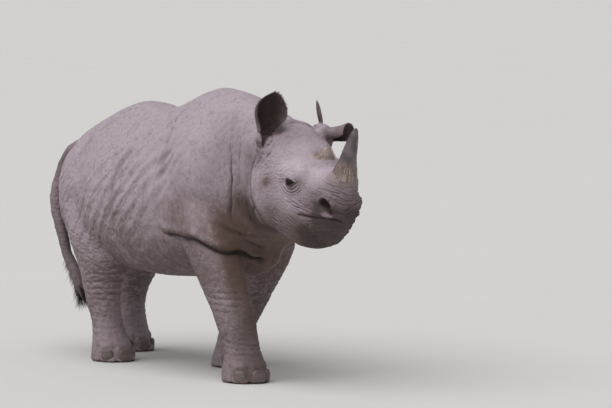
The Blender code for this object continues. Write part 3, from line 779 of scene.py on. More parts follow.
def mouth_and_nose(head):
    along, left, up = head.T
    lift = np.zeros(len(head))
    line = np.interp(along, [p[0] for p in MOUTH], [p[2] for p in MOUTH])
    upper = 0.3 + 0.7 * ease(0.0, 0.012, up - line)
    for path in both_sides(MOUTH):
        gap, share = near_path(head, path)
        groove = 0.006 * bell(gap, 0.0034) + 0.0025 * bell(gap, 0.010)
        lift += ease(-0.02, 0.12, share) * (0.0030 * bell(gap - 0.014, 0.008) * upper - groove)
    # the nostrils' rims and wings, and the hooked tip of the upper lip
    beyond = comma(head)[1]
    rim = 0.0036 * bell(beyond - 0.006, 0.0055) * (0.55 + 0.45 * ease(-0.20, -0.175, up))
    wing = 0.0050 * bell(np.hypot(along - 0.478, 1.5 * (up + 0.226)), 0.015)
    lift += (np.abs(left) > NOSTRIL_OUT) * (rim + wing)
    return lift + 0.004 * bell(along - 0.525, 0.02) * bell(left, 0.03) * bell(up + 0.225, 0.018)


def pushed(points, head, amount, way):
    """Points moved by an amount each along a way given as along, out and up on the head."""
    along, out, up = way
    side = np.sign(head[:, 1])
    ways = np.column_stack((side * out, np.full(len(side), -along), np.full(len(side), up)))
    return points + amount[:, None] * (ways @ np.array(HEAD_TURN).T)


def open_nostrils(points, head):
    """Push the hide into the head within each comma, deepest at its round end."""
    hole, _, share = comma(head)
    depth = hole * (np.abs(head[:, 1]) > NOSTRIL_OUT) * (0.026 - 0.012 * share)
    return pushed(points, head, -depth, (0.45, 0.85, -0.1))


def ear_vee(points):
    """1 in the notch where the right ear's opening runs down to a point at its foot."""
    across, back, up = on_ear(points, RIGHT_EAR).T
    half = np.maximum(0.019 * np.clip((up + 0.037) / 0.055, 0, 1), 0.002)
    within = (up > -0.036) & (up < 0.040) & (back > -0.060)
    return ease(1.25, 0.55, np.abs(across) / half) * ease(-0.008, -0.016, back) * within


def open_ear(points):
    """Push the hide down the bottom of the right ear's cup, and in at the notch at its foot."""
    _, turn = RIGHT_EAR
    share, radial, _ = ear_axes(points, RIGHT_EAR, EAR_LENGTH)
    within = ease(0.024, 0.013, radial) * between(-0.02, 0.16, 0.03, share)
    points = points - 0.020 * within[:, None] * np.array(turn @ Vector((0, 0, 1)))
    return points + 0.016 * ear_vee(points)[:, None] * np.array(turn @ Vector((0, 1, 0)))


def tail_folds(body):
    """Rings round the tail, and the groove where it lies against the rump."""
    beyond, share = round_tail(body)
    rings = ease(0.012, 0.004, beyond) * between(0.30, 0.80, 0.05, share) * valleys(body[:, 2] / 0.017, 1.5)
    return 0.0012 * rings - 0.010 * bell(beyond - 0.008, 0.007) * between(0.06, 0.50, 0.05, share)


def open_eyes(points, head):
    """Push the hide back within the lids, so that the eyeball shows."""
    ahead, above, proud = eye_axes(head)
    inside = ease(0.0016, -0.0012, almond(ahead, above)) * (proud > 0.0) * (proud < 0.06)
    return pushed(points, head, -0.0125 * inside, (0.24, 0.97, 0.0))


def seat_nails(points):
    """Press the hide in behind each nail."""
    lift = np.zeros(len(points))
    for name in NAILS:
        away = np.linalg.norm((points - np.array(middle(name))) * (1, 1, 1.15), axis=1)
        lift -= 0.0055 * ease(0.040, 0.026, away)
    return lift


REST_AXES = ("rest_along", "rest_left", "rest_up")  # marks that keep each point's place on the head


def sculpt(mesh):
    """Move the hide in and out along its normals by all its folds, then open eyes, nostrils and ear."""
    points = coordinates(mesh)
    head, body = head_axes(points), body_axes(points)
    face = head_mask(points)
    off_face = 1 - face
    wander = noise(points, 7, 1)
    lift = 0.0030 * noise(points, 9, 2) * (1 - 0.75 * face)
    lift += 0.0011 * noise(points, 26, 4) * (1 - 0.4 * face)
    lift += neck_folds(body, head, wander) + shoulder_folds(body) + flank_relief(body, wander) * off_face
    lift += leg_folds(body, points, wander) * off_face + tail_folds(body)
    rough = noise(points, 74, 21) + 0.6 * noise(points, 148, 22)
    knobs = 0.4 + 0.6 * ease(0.05, -0.40, body[:, 0])
    lift += 0.0010 * rough * knobs * (1 - 0.75 * face) * ease(0.06, 0.16, body[:, 2])
    on = face > 0.01
    lift[on] += face[on] * (face_folds(head[on], points[on]) + muzzle_folds(head[on], points[on]))
    lift *= 1 - ear_mask(points)
    lift[on] += face[on] * mouth_and_nose(head[on])
    lift += seat_nails(points)
    remember(mesh, "lift", lift)
    remember(mesh, "vee", ear_vee(points))
    moved = points + coordinates(mesh, "normal") * lift[:, None]
    moved = open_ear(open_nostrils(open_eyes(moved, head_axes(moved)), head))
    moved[:, 2] = np.maximum(moved[:, 2], CLEAR)
    put(mesh, moved)
    for axis, column in zip(REST_AXES, head.T):
        remember(mesh, axis, column)


def dress_hide():
    made = fused_flesh()
    mesh = made.data
    smooth_flesh(mesh)
    points = coordinates(mesh)
    refine(mesh, head_mask(points) * (1 - ear_mask(points)) * (head_axes(points)[:, 0] > 0.12) > 0.5)
    ahead, above, proud = eye_axes(head_axes(coordinates(mesh)))
    refine(mesh, (np.hypot(ahead, above) < 0.040) & (np.abs(proud) < 0.05))
    sculpt(mesh)
    return made


hide = dress_hide()
for face in hide.data.polygons:
    face.use_smooth = True
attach(hide, "root")
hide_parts(*FLESH, *EARS)


# --- Materials ---

class Paint:
    """A procedural material under construction. lay and spread put a tone over what is painted so far."""

    def __init__(self, name, roughness):
        self.material = bpy.data.materials.new(name)
        self.material.use_nodes = True
        self.tree = self.material.node_tree
        self.shader = self.tree.nodes["Principled BSDF"]
        self.shader.inputs["Roughness"].default_value = roughness
        self.place = self.node("ShaderNodeTexCoord").outputs["Object"]
        self.base = None

    def node(self, kind, **settings):
        made = self.tree.nodes.new(kind)
        for key, value in settings.items():
            setattr(made, key, value)
        return made

    def feed(self, socket, value):
        if isinstance(value, bpy.types.NodeSocket):
            self.tree.links.new(value, socket)
        else:
            socket.default_value = (*value, 1.0) if isinstance(value, tuple) and len(value) == 3 else value

    def made(self, kind, fed, output=0, **settings):
        """A new node's output, after its inputs are fed by name or number."""
        node = self.node(kind, **settings)
        for socket, value in fed.items():
            self.feed(node.inputs[socket], value)
        return node.outputs[output]

    def attribute(self, name):
        return self.node("ShaderNodeAttribute", attribute_name=name).outputs["Fac"]

    def math(self, operation, a, b=0.0):
        return self.made("ShaderNodeMath", {0: a, 1: b}, operation=operation)

    def times(self, a, b):
        return self.math("MULTIPLY", a, b)

    def plus(self, a, b):
        return self.math("ADD", a, b)

    def span(self, value, low, high, to_low=0.0, to_high=1.0):
        fed = dict(enumerate((value, low, high, to_low, to_high)))
        return self.made("ShaderNodeMapRange", fed, interpolation_type="SMOOTHSTEP")

    def mix(self, share, a, b):
        return self.made("ShaderNodeMix", {"Factor": share, 6: a, 7: b}, 2, data_type="RGBA")

    def lay(self, tone, share):
        self.base = self.mix(share, self.base, tone)

    def spread(self, tone, field, low, high, most=1.0, within=None):
        """Lay a tone that grows from nothing to most of itself while a field goes from low to high."""
        share = self.span(field, low, high, 0.0, most)
        self.lay(tone, self.times(share, within) if within else share)

    def stretched(self, *scale):
        node = self.node("ShaderNodeMapping")
        self.feed(node.inputs["Vector"], self.place)
        node.inputs["Scale"].default_value = scale
        return node.outputs[0]

    def warped(self, place, scale, amount):
        swirl = self.made("ShaderNodeTexNoise", {"Vector": place, "Scale": scale}, "Color")
        node = self.node("ShaderNodeVectorMath", operation="MULTIPLY_ADD")
        self.feed(node.inputs[0], swirl)
        node.inputs[1].default_value = (amount, amount, amount)
        self.feed(node.inputs[2], place)
        return node.outputs[0]

    def noise(self, scale, detail=4.0, roughness=0.55, place=None):
        fed = {"Vector": place or self.place, "Scale": scale, "Detail": detail, "Roughness": roughness}
        return self.made("ShaderNodeTexNoise", fed)

    def cells(self, scale, feature, place):
        fed = {"Vector": place, "Scale": scale}
        return self.made("ShaderNodeTexVoronoi", fed, "Distance", feature=feature)

    def bump(self, height, strength, distance):
        fed = {"Height": height, "Strength": strength, "Distance": distance}
        self.feed(self.shader.inputs["Normal"], self.made("ShaderNodeBump", fed))

    def finish(self):
        self.feed(self.shader.inputs["Base Color"], self.base)
        return self.material


GREY = (0.258, 0.192, 0.218)  # violet-grey hide
TINT = (0.235, 0.172, 0.178)  # its browner patches
DUST_AND_TOP_LIGHT = (0.500, 0.406, 0.460)  # dust, and painted top light where it faces up
SHADE = (0.112, 0.074, 0.074)  # painted shade: under the hide, low down and in shaded places; also dark specks
MUD = (0.130, 0.078, 0.060)  # dried on the legs, elbows and flanks
BROW_HIGHLIGHT = (0.600, 0.505, 0.560)  # painted highlight on the brow
TAN = (0.330, 0.250, 0.225)  # hide that turns to horn
DEEP_SHADE = (0.042, 0.028, 0.026)  # deepest painted shade: bottoms of creases, cracks and the most shaded places
PINK_SKIN_AND_HIGHLIGHT = (0.370, 0.265, 0.300)  # bare pink skin under the nostrils, with a painted highlight
HOLLOW_SHADE_AND_RIMS = (0.056, 0.033, 0.027)  # painted shade in the ears' insides, the nostrils and the right ear's notch; the lids' dark rims

# The dark mark down the flank, as forward, left and up.
FLANK_STRIPE = ((-0.29, 0, 0.88), (-0.335, 0, 0.81), (-0.345, 0, 0.74), (-0.33, 0, 0.62))


def hide_paint():
    """Painted shade where the hide faces down; dust and painted top light where it faces up and is marked
    dusty, and the brow's painted highlight; then painted shade, mud, specks, and painted shade in cracks and
    creases.
    """
    paint = Paint("hide_skin", 0.62)
    facing = paint.node("ShaderNodeSeparateXYZ")
    paint.feed(facing.inputs[0], paint.node("ShaderNodeNewGeometry").outputs["Normal"])
    level = facing.outputs[2]
    shade, dust_and_highlight, speckled = (paint.attribute(name) for name in ("shade", "dust_and_highlight", "speckled"))
    cloud = paint.noise(3.2, 5.0, 0.6, paint.stretched(1.0, 1.0, 0.6))
    patch = paint.noise(13.0, 5.0, 0.62, paint.stretched(1.0, 1.0, 0.42))
    speck = paint.noise(52.0, 5.0, 0.68)
    grain = paint.noise(190.0, 4.0, 0.6)
    crazed = paint.warped(paint.stretched(1.0, 1.0, 1.5), 26.0, 0.018)
    cracks = paint.cells(96.0, "DISTANCE_TO_EDGE", crazed)
    fine = paint.cells(230.0, "DISTANCE_TO_EDGE", crazed)
    pebbles = paint.cells(62.0, "F1", paint.warped(paint.place, 30.0, 0.012))

    # how far the hide faces up, in patches: where dust and painted top light are laid
    upward = paint.plus(level, paint.plus(cloud, 0.5))
    tinted = paint.mix(paint.span(paint.noise(5.5, 4.0, 0.6), 0.42, 0.58), GREY, TINT)
    # painted shade where the hide faces down
    paint.base = paint.mix(paint.span(level, -0.85, 0.12), SHADE, tinted)
    # dust and painted top light on the hide that faces up
    paint.spread(DUST_AND_TOP_LIGHT, upward, 0.45, 1.36, within=dust_and_highlight)
    # painted highlight on the brow, where the dust mark passes 1
    paint.spread(BROW_HIGHLIGHT, dust_and_highlight, 1.0, 2.0, 0.90)
    paint.spread(DUST_AND_TOP_LIGHT, patch, 0.50, 0.66, 0.30)
    paint.spread(DUST_AND_TOP_LIGHT, grain, 0.42, 0.70, 0.22)
    paint.spread(SHADE, patch, 0.48, 0.34, 0.24, speckled)
    # painted shade, by the shade marks
    paint.lay(SHADE, shade)
    # deepest painted shade where the shade marks are strongest
    paint.spread(DEEP_SHADE, shade, 0.70, 1.0, 0.85)
    paint.spread(MUD, cloud, 0.24, 0.52, within=paint.attribute("mud"))
    paint.spread(TAN, speck, 0.35, 0.60, within=paint.attribute("tan"))
    # pink skin and painted highlight under the nostrils
    paint.lay(PINK_SKIN_AND_HIGHLIGHT, paint.attribute("pink_and_highlight"))
    paint.spread(DUST_AND_TOP_LIGHT, speck, 0.50, 0.64, 0.24, paint.times(speckled, paint.span(shade, 0.8, 0.2)))
    paint.spread(SHADE, speck, 0.50, 0.36, 0.26, speckled)
    # painted shade in the cracks
    paint.spread(DEEP_SHADE, cracks, 0.12, 0.0, 0.26, paint.span(patch, 0.38, 0.56))
    paint.spread(DEEP_SHADE, fine, 0.09, 0.0, 0.11)
    # painted shade in creases and along the mouth's line
    paint.lay(DEEP_SHADE, paint.attribute("crease_shade"))
    # painted shade in the ears, nostrils and the right ear's notch, and the lids' dark rims
    paint.lay(HOLLOW_SHADE_AND_RIMS, paint.attribute("dark"))

    wrinkle = paint.noise(1.0, 6.0, 0.6, paint.stretched(38.0, 38.0, 150.0))
    height = paint.times(paint.span(cracks, 0.0, 0.11), 0.18)
    for part in (
        paint.times(paint.span(fine, 0.0, 0.16), 0.09),
        paint.times(wrinkle, paint.attribute("creased")),
        paint.times(paint.span(pebbles, 0.75, 0.10), paint.attribute("pebbled")),
        paint.times(speck, 0.9),
    ):
        height = paint.plus(height, part)
    paint.bump(height, 0.80, 0.0030)
    paint.feed(paint.shader.inputs["Roughness"], paint.span(patch, 0.3, 0.7, 0.60, 0.78))
    return paint.finish()


def flat_gap(points, path):
    """Distance of each point to a path, both seen from the side."""
    return near_path(points * (1, 0, 1), np.array(path) * (1, 0, 1))[0]


def mark_hide(mesh):
    """Per-vertex marks that the hide's paint reads, from 0 to 1, or to 2 where the dust mark runs into the
    brow's painted highlight.
    """
    points = coordinates(mesh)
    lift = recall(mesh, "lift")
    head = np.column_stack([recall(mesh, axis) for axis in REST_AXES])
    along, left, up = head.T
    out = np.abs(left)
    body = body_axes(points)
    forward, aside, height = body.T
    face, ears = head_mask(points), ear_mask(points)

    # painted shade in creases and the mouth's line; the lids' dark rims; painted shade in the nostrils, the
    # right ear's notch and the ears' insides, with painted light where the right ear's inside faces the light
    fine = lift - relaxed(mesh, lift, 12)
    crease_shade = (0.40 + 0.38 * face) * ease(-0.0003, -0.0022, fine + 0.0005 * (1 - face))
    crease_shade += 0.42 * ease(-0.004, -0.011, lift)
    mirrored = np.column_stack((along, out, up))
    mouth = 0.9 * bell(near_path(mirrored, MOUTH)[0], 0.0045)
    spot = np.linalg.norm((mirrored - (0.480, 0.072, -0.226)) / (0.022, 0.036, 0.012), axis=1)
    ahead, above, proud = eye_axes(head)
    rim = ease(0.0085, 0.0015, almond(ahead, above)) * (np.abs(proud) < 0.05) * (out > 0.05)
    nostril = ease(0.15, 0.7, comma(head)[0] * (out > NOSTRIL_OUT))
    dark = np.max((0.92 * rim, 0.96 * nostril, 0.94 * recall(mesh, "vee")), axis=0)
    share, _, angle = ear_axes(points, RIGHT_EAR, EAR_LENGTH)
    # lit: painted light on the right ear's inside where it faces the light; it also eases the ears' painted
    # shade
    lit = ears * ease(0.10, 0.75, angle / cup_at(EAR_CUP, share)[1]) * ease(0.20, 0.45, share)
    for place, cup, length in EAR_SHEETS:
        share, radial, angle = ear_axes(points, place, length)
        radius, wrap = cup_at(cup, share)
        inside = ease(radius + 0.0010, radius - 0.0020, radial) * between(-0.10, 1.10, 0.04, share)
        inside *= ease(1.02, 0.86, np.abs(angle) / wrap)
        tone = 0.96 - 0.34 * ease(0.35, 0.90, share) + 0.08 * noise(points * (1.0, 1.0, 0.3), 130, 15)
        if place is RIGHT_EAR:
            tone -= 0.55 * lit
        dark = np.maximum(dark, tone * inside)

    # painted shade: muzzle, chin and lips, throat, the nook behind the jaw, neck and collar, under the ear,
    # the ears' backs, forearms, hind legs, tail and low down
    muzzle = face * ease(0.27, 0.43, along) * ease(-0.085, -0.20, up)
    chin = face * ease(0.13, 0.38, along) * ease(-0.225, -0.325, up)
    lips = face * ease(0.36, 0.42, along) * between(-0.285, -0.225, 0.010, up)
    throat = (1 - face) * between(0.24, 0.55, 0.06, forward) * ease(0.74, 0.60, height)
    throat *= ease(0.245, 0.200, np.abs(aside))
    forearm = between(0.00, 0.50, 0.06, forward) * ease(0.64, 0.50, height)
    tail = np.maximum(ease(-1.06, -1.12, forward), ease(0.070, 0.015, round_tail(body)[0]))
    neck = behind_jaw(head) * between(0.32, 0.62, 0.03, forward) * between(0.40, 0.96, 0.06, height)
    neck *= 0.72 + 0.40 * noise(body * (1.0, 0.2, 0.12), 42, 17)
    nook = behind_jaw(head) * ease(0.190, 0.080, flat_gap(head, JAW)) * between(0.50, 0.79, 0.09, height)
    hind = ease(-0.35, -0.50, forward) * ease(0.58, 0.36, height)
    collar = between(0.21, 0.38, 0.07, forward) * between(0.70, 1.02, 0.07, height)
    under_ear = bell(np.hypot((along - 0.050) / 0.060, (up + 0.115) / 0.052), 1.0)
    flaps = (0.95 - 0.35 * (left > 0)) * (1 - 0.75 * lit) * ears
    shade = np.max((
        0.98 * muzzle, 1.25 * chin, 1.05 * lips, 1.05 * throat, 0.42 * forearm, 0.95 * tail, 0.95 * neck,
        1.05 * nook, 0.20 * hind, 0.50 * collar, 0.72 * under_ear, flaps, 0.30 * ease(0.45, 0.20, height),
    ), axis=0)
    solid = 0.92 * np.max((nook, ears, 0.9 * chin, muzzle), axis=0)
    patchy = np.maximum(0.75 + 0.25 * noise(points, 11, 12), solid)

    # mud
    flank = between(0.42, 0.68, 0.08, height) * between(-0.75, 0.1, 0.1, forward)
    elbow = between(0.00, 0.40, 0.08, forward) * between(0.55, 0.72, 0.06, height)
    foreleg = between(0.12, 0.42, 0.06, forward) * between(0.36, 0.60, 0.06, height)
    stripe = bell(flat_gap(body, FLANK_STRIPE), 0.022)
    mud = 0.34 * ease(0.55, 0.15, height) + 0.12 * flank + 0.45 * stripe + 0.62 * elbow + 0.50 * foreleg
    mud += 0.5 * throat + 0.25 * face * ease(-0.20, -0.34, up)
    forehead = 0.30 * face * bell(along - 0.15, 0.045) * ease(-0.07, -0.02, up)
    temple = 0.9 * face * bell(along - 0.155, 0.03) * bell(up + 0.192, 0.035)

    # painted highlight on the brow, and hide that turns to horn round the horns' feet
    brow = face * between(0.20, 0.38, 0.05, along) * between(-0.13, -0.07, 0.025, up)
    tan = np.zeros(len(points))
    for (horn_along, horn_up, _, radius, _), strength in ((FRONT_HORN, 0.9), (REAR_HORN, 0.45)):
        beyond = np.hypot(along - horn_along, left) - radius - HORN_FLARE
        tan = np.maximum(tan, strength * ease(0.016, 0.0, beyond) * ease(-0.06, -0.03, up - horn_up))

    wrinkled = np.maximum(ease(0.62, 0.50, height), face * ease(0.38, 0.46, along))
    rump = ease(0.0, -0.45, forward) * ease(0.45, 0.65, height)
    for name, values in {
        "crease_shade": np.maximum(crease_shade, mouth),
        "dark": dark,
        "speckled": 1 - 0.65 * face * ease(0.10, 0.20, along),
        "pink_and_highlight": 0.80 * ease(1.5, 0.6, spot),
        "shade": np.clip(shade * patchy, 0, 1),
        "mud": np.clip(np.max((mud, forehead, temple), axis=0), 0, 1),
        "dust_and_highlight": np.clip(1.0 - 0.6 * face * ease(0.36, 0.48, along) + 1.1 * brow - 0.7 * ears, 0, 2),
        "tan": tan,
        "creased": 0.15 + 0.65 * wrinkled,
        "pebbled": np.clip(0.12 + 0.75 * rump, 0, 1) * (1 - 0.8 * face) * (1 - ears),
    }.items():
        remember(mesh, name, values)
    for name in ("lift", "vee", *REST_AXES):
        mesh.attributes.remove(mesh.attributes[name])


mark_hide(hide.data)
hide.data.materials.clear()
hide.data.materials.append(hide_paint())


def horn_paint(name, low, high, streaked):
    """Fibrous keratin from low to high in tone, with pale frayed streaks up to a share of the height."""
    paint = Paint(name, 0.45)
    share, turn = paint.attribute("share"), paint.attribute("turn")
    around = paint.made("ShaderNodeCombineXYZ", {
        0: paint.times(paint.math("COSINE", turn), 11.0),
        1: paint.times(paint.math("SINE", turn), 11.0),
        2: paint.times(share, 3.2),
    })
    fibre = paint.noise(1.6, 6.0, 0.7, around)
    paint.base = paint.mix(paint.span(paint.noise(26.0, 4.0), 0.40, 0.60), low, high)
    paint.spread((0.205, 0.140, 0.118), share, 0.42, 0.10, 0.8)
    paint.spread((0.520, 0.415, 0.370), share, streaked, 0.04, within=paint.span(fibre, 0.49, 0.60))
    paint.spread((0.085, 0.056, 0.050), fibre, 0.47, 0.34, 0.6)
    paint.spread((0.10, 0.085, 0.10), share, 0.90, 1.0, 0.5)
    rings = paint.noise(1.0, 3.0, 0.5, paint.stretched(3.0, 3.0, 150.0))
    fibres = paint.times(fibre, paint.span(share, 0.95, 0.1, 0.25, 1.0))
    paint.bump(paint.plus(fibres, paint.times(rings, 0.10)), 0.7, 0.0020)
    return paint.finish()


def nail_paint():
    paint = Paint("nail_keratin", 0.48)
    bands = paint.noise(1.0, 3.0, 0.5, paint.stretched(9.0, 9.0, 85.0))
    streaks = paint.noise(1.0, 3.0, 0.5, paint.stretched(190.0, 190.0, 22.0))
    paint.base = paint.mix(paint.span(bands, 0.30, 0.72), (0.125, 0.096, 0.090), (0.190, 0.150, 0.140))
    paint.spread((0.070, 0.052, 0.048), streaks, 0.50, 0.30, 0.35)
    paint.spread(MUD, paint.noise(30.0), 0.52, 0.66, 0.6)
    paint.bump(paint.plus(bands, paint.times(streaks, 0.5)), 0.5, 0.0015)
    return paint.finish()


def eye_paint():
    """A black pupil, a flecked brown iris, its dark edge and the brown white of the eye, ring by ring."""
    paint = Paint("eye_wet", 0.22)
    for socket, value in (("Specular IOR Level", 0.18), ("Coat Weight", 0.14), ("Coat Roughness", 0.08)):
        paint.shader.inputs[socket].default_value = value
    ring = paint.attribute("ring")
    fleck = paint.noise(260.0, 4.0, 0.7)
    paint.base = paint.mix(paint.span(fleck, 0.35, 0.65), (0.010, 0.005, 0.004), (0.032, 0.014, 0.009))
    paint.spread((0.002, 0.002, 0.003), ring, 0.0066, 0.0056)
    paint.spread((0.014, 0.008, 0.007), ring, 0.0118, 0.0134)
    paint.spread((0.045, 0.024, 0.022), ring, 0.0160, 0.0185)
    return paint.finish()


def hair_paint(name, root, tip):
    paint = Paint(name, 0.55)
    paint.base = paint.mix(paint.span(paint.attribute("share"), 0.0, 1.0), root, tip)
    paint.spread(tuple(1.35 * part for part in tip), paint.noise(90.0, 3.0), 0.45, 0.70, 0.5)
    return paint.finish()


# --- Eyes, horns and nails ---

def place_piece(obj, material, slot, *replaced):
    for face in obj.data.polygons:
        face.use_smooth = True
    obj.data.materials.clear()
    obj.data.materials.append(material)
    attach(obj, "root")
    if replaced:
        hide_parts(*replaced)


def eyeball(name, side, material):
    """A ball with a bulging cornea, marked with each point's distance from the line of sight."""
    centre = middle(name)
    aim = (HEAD_TURN @ on_body(0.42, side * 0.90, -0.02)).normalized()
    turn = aim.to_track_quat("Z", "Y").to_matrix()
    bm = ball(Vector((0, 0, 0)), (1, 1, 1), segments=64)
    rings = []
    for vert in bm.verts:
        local = vert.co.normalized() * EYEBALL
        off = math.hypot(local.x, local.y) if local.z > 0 else 1.0
        rings.append(off)
        bulge = 0.0014 * max(0.0, 1 - (off / 0.0125) ** 2)
        vert.co = centre + turn @ (local * (1 + bulge / EYEBALL))
    mesh = mesh_of(name + "_ball", bm)
    remember(mesh, "ring", rings)
    place_piece(link(name + "_ball", mesh), material, "eye", name)


def horn_radius(sizes, t, blunt):
    flare = HORN_FLARE * max(0.0, 1 - 2 * t) ** 1.3
    return (sizes[3] + flare) * (1 - 0.50 * t) * math.sqrt(max(1 - t**blunt, 0.0))


def horn_point(sizes, t, angle, blunt, out=0.0):
    along, up, height, _, lean = sizes
    r = horn_radius(sizes, t, blunt) + out
    rise = up - HORN_SUNK + (height + HORN_SUNK) * t
    return head_place(along + lean * t**1.4 + r * math.cos(angle), r * math.sin(angle), rise)


def horn_piece(name, sizes, blunt, material, sides=96, rows=80):
    """A fluted, stepped cone, marked with each point's share of the height and angle round it."""
    vertices, shares, turns = [], [], []
    for j in range(rows):
        t = 1 - (1 - j / rows) ** 1.5
        for i in range(sides):
            angle = 2 * math.pi * i / sides
            worn = 0.0011 * math.sin(17 * angle + 3 * math.sin(5 * angle)) * max(0.15, 1 - 1.8 * t)
            worn += 0.0007 * math.sin(41 * angle + 9 * t) * (1 - 0.7 * t)
            ledge = 0.0014 * math.exp(-(((t - 0.20 - 0.03 * math.sin(3 * angle)) / 0.05) ** 2))
            ripple = 0.0003 * math.sin(60 * t + 2 * math.sin(2 * angle))
            vertices.append(horn_point(sizes, t, angle, blunt, worn + ledge + ripple - 0.0006))
            shares.append(max(t - 0.1, 0) / 0.9)
            turns.append(angle)
    top = len(vertices)
    vertices.append(horn_point(sizes, 1.0, 0.0, blunt))
    vertices.append(horn_point(sizes, 0.0, 0.0, blunt, -horn_radius(sizes, 0, blunt)))
    shares += [1.0, 0.0]
    turns += [0.0, 0.0]
    faces = ring_faces(rows, sides)
    for i in range(sides):
        n = (i + 1) % sides
        faces.append((top - sides + i, top - sides + n, top))
        faces.append((n, i, top + 1))
    obj = mesh_object(name + "_keratin", vertices, faces)
    remember(obj.data, "share", shares)
    remember(obj.data, "turn", turns)
    place_piece(obj, material, "horn", name)


def nail_piece(name, material):
    """A rounded, ridged shield in place of a nail, as wide and as tall, a little prouder below."""
    leg, place = name[5:].rsplit("_", 1)
    fan = {"outer": 52, "middle": 0, "inner": -52}[place] * LEGS[leg][0]
    size = 1.0 if place == "middle" else 0.88
    centre = middle(name)
    turn = Matrix.Rotation(math.radians(fan), 3, "Z")
    bm = ball(Vector((0, 0, 0)), (1, 1, 1), segments=48)
    for vert in bm.verts:
        squared = sum(abs(c) ** 3 for c in vert.co) ** (1 / 3)
        x, y, z = vert.co / squared
        rise = 0.5 * (z + 1)
        x *= 1 - 0.16 * rise
        y += 0.30 * x * x
        proud = 1.0 + 0.10 * (1 - rise) + 0.035 * math.sin(26 * z)
        vert.co = centre + turn @ Vector((0.033 * size * x, 0.0135 * y * proud, 0.0255 * size * z))
    place_piece(link(name + "_plate", mesh_of(name + "_plate", bm)), material, "nail", name)


for name, side in zip(EYES, SIDES):
    eyeball(name, side, eye_paint())
front_keratin = horn_paint("horn_keratin", (0.100, 0.078, 0.090), (0.185, 0.148, 0.164), 0.34)
rear_keratin = horn_paint("horn_stub", (0.300, 0.222, 0.200), (0.450, 0.355, 0.325), 0.95)
horn_piece("horn_front", FRONT_HORN, FRONT_BLUNT, front_keratin)
horn_piece("horn_rear", REAR_HORN, REAR_BLUNT, rear_keratin)
nail_keratin = nail_paint()
for name in NAILS:
    nail_piece(name, nail_keratin)


# --- Hair ---

EAR_HAIRS, TORN_EAR_HAIRS = 460, 220
LASHES = 34  # on each eye
BRISTLES = 900
FRONT_FIBRES, REAR_FIBRES = 340, 260


def hairs(name, strands, material):
    """Tapered bent three-sided hairs. A strand is root, direction, length, radius and sag direction."""
    vertices, faces, shares, patches = [], [], [], []
    stations = (0.0, 0.4, 0.75, 1.0)
    for root, aim, length, radius, sag in strands:
        aim = aim.normalized()
        across = aim.orthogonal().normalized()
        aside = aim.cross(across)
        start = len(vertices)
        # a small patch of the bake's map for each hair, at its root's place round and along the animal
        place = head_axes(np.array([root]))[0]
        u = 0.5 + math.atan2(root.x, root.z - 0.75) / (2 * math.pi) + 0.02 * place[1]
        v = 0.5 + 0.35 * root.y
        for s in stations:
            centre = root + aim * (length * s) + sag * (length * s * s)
            r = radius * (1 - 0.85 * s)
            for k in range(3):
                angle = 2 * math.pi * k / 3
                vertices.append(centre + across * (r * math.cos(angle)) + aside * (r * math.sin(angle)))
                shares.append(s)
                patches.append((u + 0.0015 * math.cos(angle), v + 0.003 * s))
        faces += ring_faces(len(stations), 3, start)
        last = len(vertices) - 3
        faces += [(start + 2, start + 1, start), (last, last + 1, last + 2)]
    obj = mesh_object(name, vertices, faces)
    remember(obj.data, "share", shares)
    chart = obj.data.uv_layers.new(name="OFBake")
    for loop in obj.data.loops:
        chart.data[loop.index].uv = patches[loop.vertex_index]
    place_piece(obj, material, "skin")


def jitter(scale):
    return Vector(rng.normal(0, scale, 3))


def ear_rim(ear, share, edge):
    """A point on an ear's rim (edge -1 or 1) or across its tip (between them), and its outward way."""
    point, angle = cup_point(*ear, share, edge)
    return point, ear[0][1] @ Vector((math.sin(angle) * 0.7, -0.25, 0.0))


def ear_fringe():
    """Short hairs on the right ear's rim and on the end of the torn one."""
    strands = []
    right, torn = EAR_SHEETS
    for _ in range(EAR_HAIRS):
        share = 1 - 0.50 * rng.random() ** 1.8
        edge = rng.choice((-1.0, 1.0)) * (1 if share < 0.97 else rng.random())
        point, way = ear_rim(right, share, edge)
        aim = way + RIGHT_EAR[1] @ Vector((0, 0, 0.9 + 0.8 * share)) + jitter(0.25)
        strands.append((point + jitter(0.0012), aim, rng.uniform(0.003, 0.0065), 0.0006, jitter(0.2)))
    for _ in range(TORN_EAR_HAIRS):
        share = rng.uniform(0.85, 1.0)
        edge = rng.uniform(-1.0, 1.0)
        point, way = ear_rim(torn, share, edge)
        aim = 0.5 * way + LEFT_EAR[1] @ Vector((0, 0, 1.0)) + jitter(0.3)
        strands.append((point + jitter(0.001), aim, rng.uniform(0.003, 0.006), 0.0006, jitter(0.2)))
    return strands


def lashes():
    """One row along each upper lid."""
    strands = []
    sag = Vector((0, 0, 0.25))
    for side in SIDES:
        for k in range(LASHES):
            ahead = 0.0175 * (2 * k / (LASHES - 1) - 1)
            above = 0.0104 * max(0.0, 1 - (ahead / EYE_HALF) ** 2) ** 0.75 + 0.001
            out = 0.0205 - 0.24 * ahead - 6 * ahead**2
            root = head_place(EYE[0] + ahead * 0.97, side * (EYE[1] + out), EYE[2] + above)
            aim = HEAD_TURN @ on_body(0.25 + 8 * ahead, side * 1.0, -0.15) + jitter(0.12)
            strands.append((root, aim, rng.uniform(0.005, 0.009), 0.00045, sag))
    return strands


